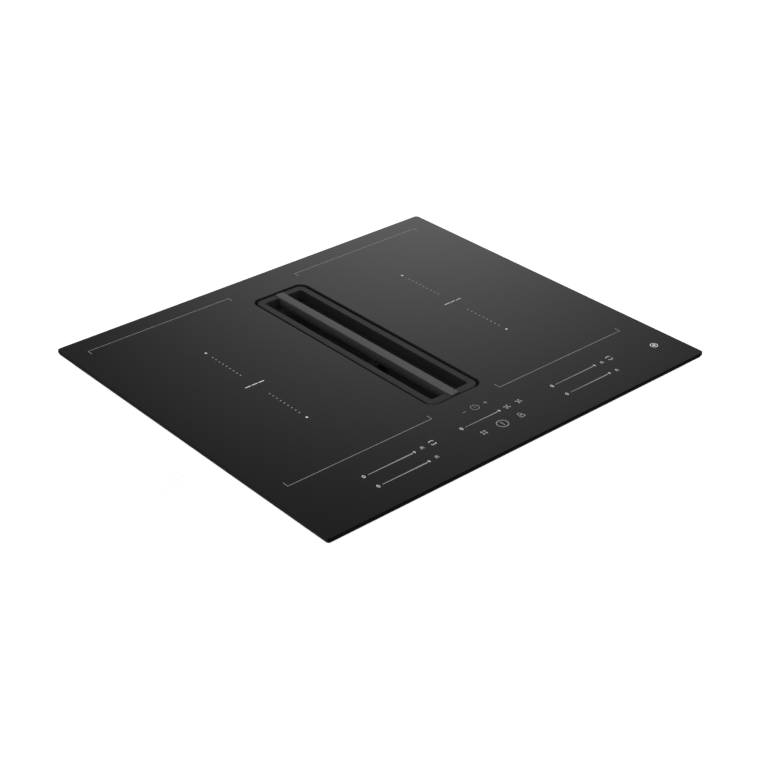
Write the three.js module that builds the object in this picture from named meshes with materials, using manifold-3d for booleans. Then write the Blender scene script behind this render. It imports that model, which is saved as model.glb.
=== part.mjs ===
// A downdraft induction cooktop: a glass plate with an air slot in its middle, a pan of
// induction coils and boards under the plate, and a lower housing with the extractor.
// Millimetres, +Z up, X to the right, Y to the back. The origin lies under the middle of
// the plate, at the height of the lowest face.
import * as THREE from "three";
import { mergeVertices } from "three/addons/utils/BufferGeometryUtils.js";
import Module from "manifold-3d";

const wasm = await Module();
wasm.setup();

// Clearances
const seatGap = 0.3; // between pieces that rest on or in each other
const liftGap = 1; // round pieces that lift out by hand
const turnGap = 0.35; // round pins, rivets and shafts

// Glass plate and its slot
const plateWidth = 590;
const plateDepth = 520;
const glassThickness = 4;
const glassArris = 0.5;
const plateCorner = 5;
const slotWidth = 83;
const slotFront = 122; // from the plate's front edge to the slot
const slotBack = 56; // from the plate's back edge to the slot
const slotCorner = 13;

// Seals
const rimInset = 1.5;
const rimGasketWidth = 10;
const rimGasketThickness = 2.4;
const slotSealThickness = 1.5;

// Base pan
const rimOverhang = 18; // from the pan's side to the plate's edge
const panHeight = 57.4;
const panSheet = 1.2;
const panCorner = 20;
const ventSlotWidth = 4;
const ventSlotLength = 22;
const ventSlotPitch = 30;

// Air shaft
const shaftLedge = 5.5; // shows inside the slot's edge and carries the vent frame
const shaftWall = 2;
const shaftFlange = 14;
const shaftCollar = 6;
const shaftDrop = 4; // below the pan

// Vent frame and wing
const ventGap = 2.8; // seam round the frame
const ventRecess = 1.2; // from the glass down to the frame's top
const ventSide = 9.5;
const ventEnd = 10.5;
const ventSkirt = 10; // below the glass
const ventSkirtGap = 0.6;
const wingWidth = 12.5;
const wingProud = 1.2;
const wingDrop = 18;
const wingEdge = 1.6;
const wingTab = 2.6;
const wingEndGap = 1.7;
const wingScrewRadius = 1.25;
const wingScrewHead = 2.6;
const wingScrewHeadHeight = 1.8;

// Grease filter and drip tray
const sheetWall = 1.6;
const trayHeight = 44;
const filterBottomBand = 10;
const filterPost = 8;
const filterPanes = 3;
const meshThickness = 1;
const meshSlot = 4;
const meshPitch = 12;
const meshBorder = 4;
const handleThickness = 1.5;
const handleWidth = 14;
const handleHeight = 22;

// Lower housing
const housingHeight = 148;
const housingWall = 2.5;
const housingCorner = 4;
const housingLip = 8;
const sidePassage = 18; // beside the filter, for the air
const endPassage = 9.5; // past the shaft's ends
const trayRib = 4;

// Extractor
const scrollX = 152;
const scrollY = 20;
const scrollLift = 12;
const scrollWall = 2;
const scrollGrowth = 13;
const tongueAngle = 70;
const tongueGap = 8;
const impellerRadius = 85;
const bladeCount = 24;
const bladeChord = 17;
const bladeThickness = 1.4;
const bladeHeight = 66;
const bladeLean = 35;
const impellerSheet = 2.5;
const mouthRadius = 66;
const mouthHeight = 8;
const motorRadius = 43;
const motorHeight = 42;
const motorFlange = 5;
const dampingRing = 3;
const shaftRadius = 4;
const shaftGrip = 14; // inside the motor and inside the hub

// Outlet for a flat duct
const ductWidth = 222;
const ductHeight = 89;
const ductWall = 2;
const ductLength = 32;
const ductPlate = 8;
const flapThickness = 1.6;
const flapPin = 1.5;
const flapGap = 0.8;
const flapInset = 8; // from the flange plate to the hinge line

// Coils
const coilSlotGap = 16.5; // from the slot's edge to a coil
const coilSideGap = 17.8; // from a coil to the pan's side
const coilFrontGap = 16; // from a front coil to the touch control
const coilBackGap = 16.8; // from a rear coil to the pan's back
const coilPairGap = 13; // between a front and a rear coil
const coilEye = 46;
const coilEyeCorner = 20;
const coilThickness = 4.5;
const coilBelowGlass = 6;
const formerThickness = 2.5;
const formerRim = 2;
const ferriteHeight = 4;
const ferriteWidth = 12;
const ferriteLength = 52;
const ferriteCount = 8;
const sensorRadius = 6;
const carrierSheet = 1.5;
const carrierMargin = 5;
const carrierPost = 5;

// Boards, heat sinks and fans
const boardThickness = 1.6;
const boardFoot = 6;
const boardInset = 5; // inside the coils' sides
const boardDepth = 230;
const boardY = 40;
const boardFootRadius = 3;
const boardFootInset = 8;
const capacitorWidth = 26;
const capacitorDepth = 16;
const capacitorHeight = 17;
const capacitorPitch = 34;
const capacitorInset = 22;
const chokeRadius = 13;
const chokeHeight = 15;
const chokePitch = 60;
const chokeInset = 24;
const sinkWidth = 60;
const sinkDepth = 150;
const sinkHeight = 20;
const sinkBase = 4;
const finCount = 8;
const finThickness = 1.8;
const fanSize = 80;
const fanHeight = 15;
const fanSideInset = 82; // from the pan's side to a fan's middle
const fanFrontInset = 47; // from the pan's front to a fan's middle
const fanHub = 16;
const fanBlades = 7;
const fanBladeChord = 12;
const fanRimGap = 1.5;

// Touch control
const controlSideInset = 65; // from the pan's side to the holder
const controlDepth = 60;
const controlHeight = 13;
const controlFrontInset = 43; // from the pan's front to the holder's middle
const controlWall = 2;
const controlPostGap = 25; // from a fan to a post

// Mains connection
const terminalSideInset = 92; // from the pan's side to the box's middle
const terminalWidth = 90;
const terminalDepth = 68;
const terminalHeight = 38;
const terminalWall = 2;
const terminalPoles = 5;
const terminalBlockDepth = 20;
const terminalBlockHeight = 18;
const terminalEntryHeight = 7;
const glandRadius = 11;
const glandBore = 6.5;
const glandLength = 20;

// Worktop clamps
const clampInset = 22; // from the pan's side to the rivet
const clampEdge = 9; // from the pan's front or back to the rivet
const clampLength = 62;
const clampWidth = 15;
const clampThickness = 2;
const rivetRadius = 2.5;
const rivetHead = 5;
const rivetHeadHeight = 1.5;

// Heights that follow
const panBottom = housingHeight + seatGap;
const panFloor = panBottom + panSheet;
const panTop = panBottom + panHeight;
const glassBottom = panTop + seatGap;
const glassTop = glassBottom + glassThickness;
const slotSealTop = glassBottom - seatGap;
const shaftTop = slotSealTop - slotSealThickness - seatGap;
const shaftBottom = panBottom - shaftDrop;
const trayBottom = housingWall + seatGap;
const filterBottom = trayBottom + trayHeight + seatGap;
const filterTop = glassBottom - ventSkirt - liftGap;
const scrollFloor = housingWall + seatGap + scrollLift;
const motorBottom = scrollFloor + scrollWall + dampingRing + 2 * seatGap;
const ductAxisZ = scrollFloor + ductHeight / 2;

// Plan sizes that follow
const panWidth = plateWidth - 2 * rimOverhang;
const panDepth = plateDepth - 2 * rimOverhang;
const slotLength = plateDepth - slotFront - slotBack;
const slotY = (slotFront - slotBack) / 2;
const shaftWidth = slotWidth - 2 * shaftLedge;
const shaftLength = slotLength - 2 * shaftLedge;
const shaftCorner = slotCorner - shaftLedge;
const liftWidth = shaftWidth - 2 * liftGap;
const liftLength = shaftLength - 2 * liftGap;
const liftCorner = shaftCorner - liftGap;
const ventWidth = slotWidth - 2 * ventGap;
const ventLength = slotLength - 2 * ventGap;
const ventCorner = slotCorner - ventGap;
const scrollStart = impellerRadius + tongueGap;
const scrollEnd = scrollStart + scrollGrowth;
const housingLeft = -slotWidth / 2 - sidePassage;
const housingRight = scrollX + scrollEnd + scrollWall + seatGap + liftGap;
const housingWidth = housingRight - housingLeft + 2 * housingWall;
const housingX = (housingLeft + housingRight) / 2;
const housingDepth = slotLength + 2 * (endPassage + housingWall);
const housingBack = slotY + housingDepth / 2;
const throatEnd = housingBack - housingWall - seatGap;
const terminalX = terminalSideInset - panWidth / 2;
const terminalY = panDepth / 2 - clampEdge - clampWidth / 2 - 3 * liftGap - terminalDepth / 2;
const fanX = panWidth / 2 - fanSideInset;
const fanY = fanFrontInset - panDepth / 2;
const controlWidth = panWidth - 2 * controlSideInset;
const controlY = controlFrontInset - panDepth / 2;
const controlPostX = fanX - fanSize / 2 - controlPostGap;
const coilWidth = panWidth / 2 - panSheet - coilSideGap - slotWidth / 2 - coilSlotGap;
const coilX = (slotWidth + coilWidth) / 2 + coilSlotGap;
const coilsFront = controlY + controlDepth / 2 + coilFrontGap;
const coilsBack = panDepth / 2 - panSheet - coilBackGap;
const coilDepth = (coilsBack - coilsFront - coilPairGap) / 2;
const coilFrontY = coilsFront + coilDepth / 2;
const coilBackY = coilsBack - coilDepth / 2;
const coilBand = (Math.min(coilWidth, coilDepth) - coilEye) / 2;
const boardWidth = coilWidth - 2 * boardInset;

const finishes = {
  blackGlass: { color: 0x17181a, roughness: 0.06, metalness: 0 },
  satinBlack: { color: 0x2b2c2e, roughness: 0.45, metalness: 0.2 },
  greyMetal: { color: 0x4a4c4e, roughness: 0.38, metalness: 0.6 },
  rubber: { color: 0x1a1a1a, roughness: 0.85, metalness: 0 },
  zincSheet: { color: 0xa9adb0, roughness: 0.4, metalness: 0.9 },
  blackPlastic: { color: 0x1f2022, roughness: 0.6, metalness: 0 },
  greyPlastic: { color: 0x6d7073, roughness: 0.55, metalness: 0 },
  filterMetal: { color: 0x3a3b3d, roughness: 0.5, metalness: 0.7 },
  copper: { color: 0xb06a3a, roughness: 0.45, metalness: 0.9 },
  ferrite: { color: 0x3c3a39, roughness: 0.7, metalness: 0.1 },
  board: { color: 0x1f5c3a, roughness: 0.5, metalness: 0 },
  aluminium: { color: 0xc3c6c9, roughness: 0.35, metalness: 0.95 },
  steel: { color: 0x9a9c9f, roughness: 0.35, metalness: 0.9 },
};

function piece(name, geometry, finish, x = 0, y = 0, z = 0) {
  const mesh = new THREE.Mesh(geometry, new THREE.MeshStandardMaterial(finishes[finish]));
  mesh.name = name;
  mesh.position.set(x, y, z);
  return mesh;
}

function group(pieces, x = 0, y = 0, z = 0) {
  const made = new THREE.Group();
  made.add(...pieces);
  made.position.set(x, y, z);
  return made;
}

// Solids are joined and cut as closed shells with shared vertices.
function toSolid(geometry) {
  const bare = new THREE.BufferGeometry();
  bare.setAttribute("position", geometry.getAttribute("position"));
  bare.setIndex(geometry.index);
  const merged = mergeVertices(bare, 1e-4);
  return new wasm.Manifold(
    new wasm.Mesh({
      numProp: 3,
      vertProperties: new Float32Array(merged.attributes.position.array),
      triVerts: new Uint32Array(merged.index.array),
    }),
  );
}

function toGeometry(solid) {
  const mesh = solid.getMesh();
  const geometry = new THREE.BufferGeometry();
  geometry.setAttribute("position", new THREE.BufferAttribute(mesh.vertProperties, mesh.numProp));
  geometry.setIndex(new THREE.BufferAttribute(mesh.triVerts, 1));
  return geometry;
}

function join(...geometries) {
  return toGeometry(geometries.map(toSolid).reduce((sum, next) => sum.add(next)));
}

function cut(body, ...tools) {
  return toGeometry(tools.map(toSolid).reduce((left, tool) => left.subtract(tool), toSolid(body)));
}

function block(x0, x1, y0, y1, z0, z1) {
  const geometry = new THREE.BoxGeometry(x1 - x0, y1 - y0, z1 - z0);
  return geometry.translate((x0 + x1) / 2, (y0 + y1) / 2, (z0 + z1) / 2);
}

// A box centred on x, y that stands on z0.
function centred(width, depth, z0, z1, x = 0, y = 0) {
  return block(x - width / 2, x + width / 2, y - depth / 2, y + depth / 2, z0, z1);
}

function rod(radius, z0, z1, x = 0, y = 0, sides = 16) {
  const geometry = new THREE.CylinderGeometry(radius, radius, z1 - z0, sides);
  return geometry.rotateX(Math.PI / 2).translate(x, y, (z0 + z1) / 2);
}

// A closed profile of [radius, height] points, counter-clockwise, turned about Z.
function turned(profile, sides = 24) {
  const points = profile.map(([radius, height]) => new THREE.Vector2(radius, height));
  return new THREE.LatheGeometry(points, sides).rotateX(Math.PI / 2);
}

function tube(outer, inner, z0, z1, sides = 24) {
  return turned([[inner, z0], [outer, z0], [outer, z1], [inner, z1], [inner, z0]], sides);
}

function roundedOutline(width, depth, radius) {
  const shape = new THREE.Shape();
  const x = width / 2 - radius;
  const y = depth / 2 - radius;
  shape.absarc(x, y, radius, 0, Math.PI / 2);
  shape.absarc(-x, y, radius, Math.PI / 2, Math.PI);
  shape.absarc(-x, -y, radius, Math.PI, Math.PI * 1.5);
  shape.absarc(x, -y, radius, Math.PI * 1.5, Math.PI * 2);
  return shape;
}

const fineArc = 5; // steps in a quarter turn that shows

function slab(shape, z0, z1, curveSegments = 3) {
  const options = { depth: z1 - z0, bevelEnabled: false, curveSegments };
  return new THREE.ExtrudeGeometry(shape, options).translate(0, 0, z0);
}

function roundedSlab(width, depth, radius, z0, z1, arc) {
  return slab(roundedOutline(width, depth, radius), z0, z1, arc);
}

// A rounded frame that grows outwards from its opening by band.
function rimRound(width, depth, radius, band, z0, z1) {
  const shape = roundedOutline(width + 2 * band, depth + 2 * band, radius + band);
  shape.holes.push(roundedOutline(width, depth, radius));
  return slab(shape, z0, z1);
}

function tub(width, depth, radius, wall, floor, height) {
  const outside = roundedSlab(width, depth, radius, 0, height);
  const inside = roundedSlab(width - 2 * wall, depth - 2 * wall, radius - wall, floor, height + 1);
  return cut(outside, inside);
}

// Copies of one tool in a row along x or y, centred on 0.
function rowOf(count, pitch, make) {
  return Array.from({ length: count }, (_, i) => make((i - (count - 1) / 2) * pitch));
}

function glassPlate() {
  const outline = roundedOutline(plateWidth, plateDepth, plateCorner);
  const plate = new THREE.ExtrudeGeometry(outline, {
    depth: glassThickness - 2 * glassArris,
    bevelThickness: glassArris,
    bevelSize: glassArris,
    bevelOffset: -glassArris,
    bevelSegments: 1,
    curveSegments: fineArc,
  }).translate(0, 0, glassArris);
  const slot = roundedSlab(slotWidth, slotLength, slotCorner, -1, glassThickness + 1, fineArc);
  return cut(plate, slot.translate(0, slotY, 0));
}

function rimGasket() {
  const inset = rimInset + rimGasketWidth;
  return rimRound(
    plateWidth - 2 * inset, plateDepth - 2 * inset, 1,
    rimGasketWidth, -rimGasketThickness, 0,
  );
}

// The pan is open at the top. Slots in its front and back let the cooling air out, slots
// under each fan let it in, and a hole passes the air shaft.
function basePan() {
  const shaftHole = roundedSlab(
    shaftWidth + 2 * (shaftWall + liftGap), shaftLength + 2 * (shaftWall + liftGap),
    shaftCorner + shaftWall, -1, panSheet + 1,
  ).translate(0, slotY, 0);
  const exhaustRow = Math.floor((panWidth / 2 - 2 * panCorner) / ventSlotPitch) * 2;
  const exhausts = rowOf(exhaustRow, ventSlotPitch, (x) =>
    centred(ventSlotLength, panDepth + 2, panHeight / 2, panHeight / 2 + ventSlotWidth, x));
  const intakes = [-fanX, fanX].flatMap((x) =>
    rowOf(5, 3 * ventSlotWidth, (y) =>
      centred(fanSize - 4 * ventSlotWidth, ventSlotWidth, -1, panSheet + 1, x, fanY + y)));
  const rivetHoles = clampPlaces.map(({ x, y }) =>
    rod(rivetRadius + turnGap, -1, panSheet + 1, x, y, 12));
  return cut(
    tub(panWidth, panDepth, panCorner, panSheet, panSheet, panHeight),
    shaftHole, ...exhausts, ...intakes, ...rivetHoles,
  );
}

// Flange under the glass, collar on the pan's floor, and the duct between and below them.
function airShaft() {
  const flange = rimRound(
    shaftWidth, shaftLength, shaftCorner, shaftFlange, shaftTop - shaftWall, shaftTop,
  );
  const duct = rimRound(shaftWidth, shaftLength, shaftCorner, shaftWall, shaftBottom, shaftTop);
  const collarZ = panFloor + seatGap;
  const collar = rimRound(
    shaftWidth, shaftLength, shaftCorner, shaftWall + shaftCollar, collarZ, collarZ + shaftWall,
  );
  return join(duct, flange, collar);
}

function slotSeal() {
  return rimRound(
    shaftWidth + 2 * seatGap, shaftLength + 2 * seatGap, shaftCorner, shaftFlange - liftGap,
    slotSealTop - slotSealThickness, slotSealTop,
  );
}

// The frame's lip lies flush with the glass and its skirt reaches down into the shaft.
const skirtWidth = shaftWidth - 2 * ventSkirtGap;
const skirtLength = shaftLength - 2 * ventSkirtGap;
const ventOpenWidth = ventWidth - 2 * ventSide;
const ventOpenLength = ventLength - 2 * ventEnd;
const wingScrewY = (skirtLength + ventOpenLength) / 4;
const wingNotch = wingTab - wingProud + seatGap;
const ventLip = glassThickness - ventRecess;

function ventFrame() {
  const lip = roundedSlab(ventWidth, ventLength, ventCorner, 0, ventLip, fineArc);
  const skirt = roundedSlab(
    skirtWidth, skirtLength, shaftCorner - ventSkirtGap, -ventSkirt, ventLip / 2,
  );
  const opening = roundedSlab(ventOpenWidth, ventOpenLength, 3, -ventSkirt - 1, glassThickness + 1);
  const notch = centred(
    wingWidth + 2 * seatGap, ventLength + 2, ventLip - wingNotch, glassThickness + 1,
  );
  const screwHoles = [-wingScrewY, wingScrewY].flatMap((y) => [
    rod(wingScrewRadius + turnGap, -ventSkirt - 1, glassThickness, 0, y, 12),
    rod(wingScrewHead + turnGap, -ventSkirt - 1, wingScrewHeadHeight + seatGap - ventSkirt, 0, y, 12),
  ]);
  return cut(join(lip, skirt), opening, notch, ...screwHoles);
}

// Flat on top, with flanks that draw in to a narrow lower edge; tabs lie on the frame's ends.
function ventWing() {
  const half = wingWidth / 2;
  const section = new THREE.Shape();
  section.moveTo(-half, wingProud);
  section.lineTo(-half, wingProud - wingTab);
  section.quadraticCurveTo(-half, -0.55 * wingDrop, -wingEdge / 2, -wingDrop);
  section.lineTo(wingEdge / 2, -wingDrop);
  section.quadraticCurveTo(half, -0.55 * wingDrop, half, wingProud - wingTab);
  section.lineTo(half, wingProud);
  const length = ventOpenLength - 2 * seatGap;
  const body = slab(section, -length / 2, length / 2, 6).rotateX(Math.PI / 2);
  const tab = centred(wingWidth, ventLength - 2 * wingEndGap, wingProud - wingTab, wingProud);
  const threads = [-wingScrewY, wingScrewY].map((y) =>
    rod(wingScrewRadius + turnGap, -wingTab, wingProud - 1, 0, y, 12));
  return cut(join(body, tab), ...threads);
}

function wingScrew() {
  const shank = ventSkirt + ventLip - wingTab + wingProud;
  return turned([
    [0, 0],
    [wingScrewHead, 0],
    [wingScrewHead, wingScrewHeadHeight],
    [wingScrewRadius, wingScrewHeadHeight],
    [wingScrewRadius, shank],
    [0, shank],
  ], 12);
}

// Basket with open panes in its long sides, which the mesh panels close from inside.
const paneTop = panBottom - shaftDrop - filterBottom;
const paneLength = (liftLength - 2 * liftCorner - (filterPanes + 1) * filterPost) / filterPanes;

function filterBasket() {
  const panes = rowOf(filterPanes, paneLength + filterPost, (y) =>
    centred(liftWidth + 2, paneLength, filterBottomBand, paneTop, 0, y));
  const drains = rowOf(filterPanes, paneLength + filterPost, (y) =>
    centred(ventSlotWidth, paneLength / 2, -1, sheetWall + 1, 0, y));
  const height = filterTop - filterBottom;
  return cut(
    tub(liftWidth, liftLength, liftCorner, sheetWall, sheetWall, height), ...panes, ...drains,
  );
}

const meshX = liftWidth / 2 - sheetWall - seatGap - meshThickness / 2;
const meshBottom = sheetWall + seatGap;
const meshTop = paneTop + meshBorder;

function filterMesh() {
  const length = liftLength - 2 * liftCorner;
  const slotCount = Math.floor((length - 2 * meshBorder) / meshPitch);
  const slots = rowOf(slotCount, meshPitch, (y) =>
    centred(meshThickness * 3, meshSlot, meshBottom + 2 * meshBorder, meshTop - meshBorder, 0, y));
  return cut(centred(meshThickness, length, meshBottom, meshTop), ...slots);
}

function filterHandle() {
  const outside = liftWidth - 2 * (sheetWall + seatGap);
  const bail = centred(outside, handleWidth, 0, handleHeight);
  const gap = centred(
    outside - 2 * handleThickness, handleWidth + 2, -1, handleHeight - 2 * handleThickness,
  );
  const fingerHole = rod(handleWidth / 4, -1, handleHeight + 1, 0, 0, 16);
  return cut(bail, gap, fingerHole);
}

function lowerHousing() {
  const shell = tub(housingWidth, housingDepth, housingCorner, housingWall, housingWall, housingHeight);
  const lip = rimRound(
    housingWidth - 2 * housingWall, housingDepth - 2 * housingWall, housingCorner - housingWall,
    housingLip + housingWall, housingHeight - housingWall, housingHeight,
  );
  const outlet = centred(
    ductWidth + 2 * liftGap, 4 * housingWall,
    ductAxisZ - ductHeight / 2 - liftGap, ductAxisZ + ductHeight / 2 + liftGap,
    ductX - housingX, housingDepth / 2,
  );
  const trayStop = rimRound(
    liftWidth + 2 * liftGap, liftLength + 2 * liftGap, liftCorner + liftGap, housingWall,
    housingWall / 2, housingWall + trayRib,
  ).translate(-housingX, 0, 0);
  return join(cut(join(shell, lip), outlet), trayStop);
}

// Plan of the scroll: a spiral from the tongue, and a throat that opens to the duct's width.
const ductX = scrollX + scrollEnd + ductWall - ductWidth / 2;
const tongue = THREE.MathUtils.degToRad(tongueAngle);

function scrollPlan(offset, z0, z1, endGap) {
  const turns = 28;
  const spiral = Array.from({ length: turns + 1 }, (_, i) => {
    const share = i / turns;
    const angle = tongue + share * (2 * Math.PI - tongue);
    const radius = scrollStart + scrollGrowth * share + offset;
    return new THREE.Vector2(radius * Math.cos(angle), radius * Math.sin(angle));
  });
  const right = scrollEnd + offset;
  const left = ductX - scrollX - ductWidth / 2 + ductWall - offset;
  const back = throatEnd - scrollY + endGap;
  const throat = [
    new THREE.Vector2(0, 0),
    new THREE.Vector2(right, 0),
    new THREE.Vector2(right, back),
    new THREE.Vector2(left, back),
    new THREE.Vector2(scrollStart * Math.cos(tongue) - offset, scrollStart * Math.sin(tongue) - offset),
  ];
  return join(slab(new THREE.Shape(spiral), z0, z1), slab(new THREE.Shape(throat), z0, z1));
}

const scrollHeight = ductHeight - scrollWall;

function blowerScroll() {
  const outside = scrollPlan(scrollWall, 0, scrollHeight, 0);
  const inside = scrollPlan(0, scrollWall, scrollHeight + 1, 1);
  const feet = [45, 135, 225, 315].map((degrees) => {
    const angle = THREE.MathUtils.degToRad(degrees);
    const reach = impellerRadius * 0.8;
    return rod(
      6, -scrollLift, scrollWall / 2, reach * Math.cos(angle), reach * Math.sin(angle), 12,
    );
  });
  return join(cut(outside, inside), ...feet);
}

function scrollCover() {
  const inlet = rod(mouthRadius + scrollWall, -1, scrollWall + 1, 0, 0, 28);
  const mouth = turned([
    [mouthRadius, 0],
    [mouthRadius + scrollWall + 0.5, 0],
    [mouthRadius + scrollWall + 0.5, mouthHeight - scrollWall],
    [mouthRadius + mouthHeight, mouthHeight],
    [mouthRadius + mouthHeight / 2, mouthHeight],
    [mouthRadius, mouthHeight / 2],
    [mouthRadius, 0],
  ], 28);
  return join(cut(scrollPlan(scrollWall, 0, scrollWall, 0), inlet), mouth);
}

// External-rotor wheel: the hub is a cup over the motor, the blades stand on its rim.
const hubInside = motorRadius + 4;
const hubTop = motorHeight + 8;
const bladeBottom = motorFlange + 1;

function impeller() {
  const hub = turned([
    [shaftRadius + turnGap, hubTop - 2],
    [shaftRadius * 3, hubTop - 2],
    [hubInside, hubTop - 3],
    [hubInside, bladeBottom - impellerSheet],
    [impellerRadius, bladeBottom - impellerSheet],
    [impellerRadius, bladeBottom],
    [hubInside + impellerSheet, bladeBottom],
    [hubInside + impellerSheet, hubTop],
    [shaftRadius * 3, hubTop + shaftGrip],
    [shaftRadius + turnGap, hubTop + shaftGrip],
    [shaftRadius + turnGap, hubTop - 2],
  ], 28);
  const bladeTop = bladeBottom + bladeHeight;
  const ring = tube(impellerRadius, impellerRadius - bladeChord, bladeTop, bladeTop + impellerSheet, 28);
  const blades = Array.from({ length: bladeCount }, (_, i) => {
    const blade = centred(bladeChord * 0.9, bladeThickness, bladeBottom - 1, bladeTop + 1);
    blade.rotateZ(THREE.MathUtils.degToRad(bladeLean));
    blade.translate(impellerRadius - bladeChord * 0.55, 0, 0);
    return blade.rotateZ((i * 2 * Math.PI) / bladeCount);
  });
  return join(hub, ring, ...blades);
}

function motor() {
  const bore = shaftRadius + turnGap;
  const boss = shaftRadius * 2.5;
  return turned([
    [0, 0],
    [motorRadius + 2, 0],
    [motorRadius + 2, motorFlange / 2],
    [motorRadius, motorFlange / 2],
    [motorRadius, motorHeight - 4],
    [motorRadius - 4, motorHeight],
    [boss, motorHeight],
    [boss, motorHeight + 4],
    [bore, motorHeight + 4],
    [bore, motorHeight - shaftGrip],
    [0, motorHeight - shaftGrip],
  ]);
}

function outletFlange() {
  const plate = centred(
    ductWidth + 2 * ductPlate, ductWall, -ductHeight / 2 - ductPlate, ductHeight / 2 + ductPlate,
    0, ductWall / 2,
  );
  const inward = housingWall + 2 * seatGap;
  const collar = block(
    -ductWidth / 2, ductWidth / 2, -inward, ductLength, -ductHeight / 2, ductHeight / 2,
  );
  const bore = block(
    ductWall - ductWidth / 2, ductWidth / 2 - ductWall, -inward - 1, ductLength + 1,
    ductWall - ductHeight / 2, ductHeight / 2 - ductWall,
  );
  const pinHoles = flapAxes.map((z) =>
    rod(flapPin + turnGap, -ductWidth, ductWidth, 0, 0, 12)
      .rotateY(Math.PI / 2)
      .translate(0, flapInset, z));
  return cut(join(plate, collar), bore, ...pinHoles);
}

// Each flap hangs from its own line, the lower one just under the upper one's free edge.
const flapHeight = ductHeight / 2 - ductWall - flapGap;
const flapAxes = [1, 0].map((row) =>
  ductWall - ductHeight / 2 + (row + 1) * (flapHeight + flapGap) - flapPin - flapGap / 2);

function flap() {
  const width = ductWidth - 2 * ductWall - 2 * flapGap;
  const leaf = centred(width, flapThickness, flapPin + flapGap - flapHeight, 0);
  const pin = rod(flapPin, -ductWidth / 2 + seatGap, ductWidth / 2 - seatGap, 0, 0, 12);
  const rim = centred(width, flapThickness * 2, flapPin + flapGap - flapHeight,
    flapPin + flapGap - flapHeight + flapThickness, 0, flapThickness / 2);
  return join(leaf, rim, pin.rotateY(Math.PI / 2));
}

function coilWinding() {
  return rimRound(
    coilWidth - 2 * coilBand, coilDepth - 2 * coilBand, coilEyeCorner, coilBand, 0, coilThickness,
  );
}

// Plastic plate with a rim round the winding and ferrite bars under it.
function coilFormer() {
  const width = coilWidth + 2 * (formerRim + seatGap);
  const depth = coilDepth + 2 * (formerRim + seatGap);
  const corner = coilEyeCorner + coilBand;
  const plate = tub(width, depth, corner, formerRim, formerThickness, formerThickness + 2);
  const bars = Array.from({ length: ferriteCount }, (_, i) =>
    centred(ferriteLength, ferriteWidth, -ferriteHeight, formerThickness / 2, coilWidth / 3.4, 0)
      .rotateZ((i * 2 * Math.PI) / ferriteCount));
  return join(plate, ...bars);
}

function coilSensor(height) {
  return turned([
    [0, 0],
    [sensorRadius * 1.4, 0],
    [sensorRadius * 1.4, 1.5],
    [sensorRadius, 2.5],
    [sensorRadius, height - 2],
    [sensorRadius - 2, height],
    [0, height],
  ], 10);
}

const coilTop = glassBottom - coilBelowGlass;
const formerZ = coilTop - coilThickness - seatGap - formerThickness;
const carrierTop = formerZ - ferriteHeight - seatGap;
const coilMiddleY = (coilFrontY + coilBackY) / 2;

// Aluminium sheet under two coils, on posts that stand on the pan's floor.
function coilCarrier() {
  const width = coilWidth + 2 * carrierMargin;
  const depth = coilBackY - coilFrontY + coilDepth + 2 * carrierMargin;
  const sheet = roundedSlab(width, depth, panCorner, -carrierSheet, 0);
  const reach = carrierTop - panFloor - seatGap;
  const posts = [-1, 1].flatMap((sx) => [-1, 1].map((sy) =>
    rod(carrierPost, -reach, -carrierSheet / 2,
      sx * (width / 2 - 2 * carrierPost), sy * (depth / 2 - 2 * carrierPost), 8)));
  const windows = [coilFrontY, coilBackY].map((y) =>
    rod(coilBand / 2, -carrierSheet - 1, 1, 0, y - coilMiddleY, 16));
  return join(cut(sheet, ...windows), ...posts);
}

// Board on four feet, with a block for each big component.
function powerBoard() {
  const board = centred(boardWidth, boardDepth, boardFoot, boardFoot + boardThickness);
  const feet = [-1, 1].flatMap((sx) => [-1, 1].map((sy) =>
    rod(boardFootRadius, 0, boardFoot + boardThickness / 2,
      sx * (boardWidth / 2 - boardFootInset), sy * (boardDepth / 2 - boardFootInset), 6)));
  const top = boardFoot + boardThickness / 2;
  const capacitors = rowOf(4, capacitorPitch, (y) => centred(
    capacitorWidth, capacitorDepth, top, top + capacitorHeight, boardWidth / 2 - capacitorInset, y,
  ));
  const chokes = rowOf(2, chokePitch, (y) =>
    rod(chokeRadius, top, top + chokeHeight, chokeInset - boardWidth / 2, y, 12));
  return join(board, ...feet, ...capacitors, ...chokes);
}

function heatSink() {
  const base = centred(sinkWidth, sinkDepth, 0, sinkBase);
  const pitch = (sinkWidth - finThickness) / (finCount - 1);
  const fins = rowOf(finCount, pitch, (x) =>
    centred(finThickness, sinkDepth, sinkBase / 2, sinkHeight, x));
  return join(base, ...fins);
}

const fanBore = fanSize / 2 - 2;

function fanFrame() {
  const body = roundedSlab(fanSize, fanSize, 5, 0, fanHeight);
  const bore = rod(fanBore, -1, fanHeight + 1, 0, 0, 24);
  const hub = rod(fanHub, 0, 3);
  const struts = [45, 135, 225, 315].map((degrees) =>
    centred(fanBore - fanHub + 4, 4, 0, 2, (fanBore + fanHub) / 2)
      .rotateZ(THREE.MathUtils.degToRad(degrees)));
  const spindle = rod(2, 1, fanHeight - 3, 0, 0, 8);
  return join(cut(body, bore), hub, spindle, ...struts);
}

function fanRotor() {
  const bottom = 3 + seatGap;
  const hub = cut(
    rod(fanHub, bottom, fanHeight - 1),
    rod(2 + turnGap, bottom - 1, fanHeight - 3 + seatGap, 0, 0, 8),
  );
  const tip = fanBore - fanRimGap;
  const blades = Array.from({ length: fanBlades }, (_, i) =>
    centred(tip - fanHub + 3, fanBladeChord, -0.6, 0.6)
      .rotateX(THREE.MathUtils.degToRad(38))
      .translate((tip + fanHub - 3) / 2, 0, (bottom + fanHeight) / 2)
      .rotateZ((i * 2 * Math.PI) / fanBlades));
  return join(hub, ...blades);
}

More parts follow.
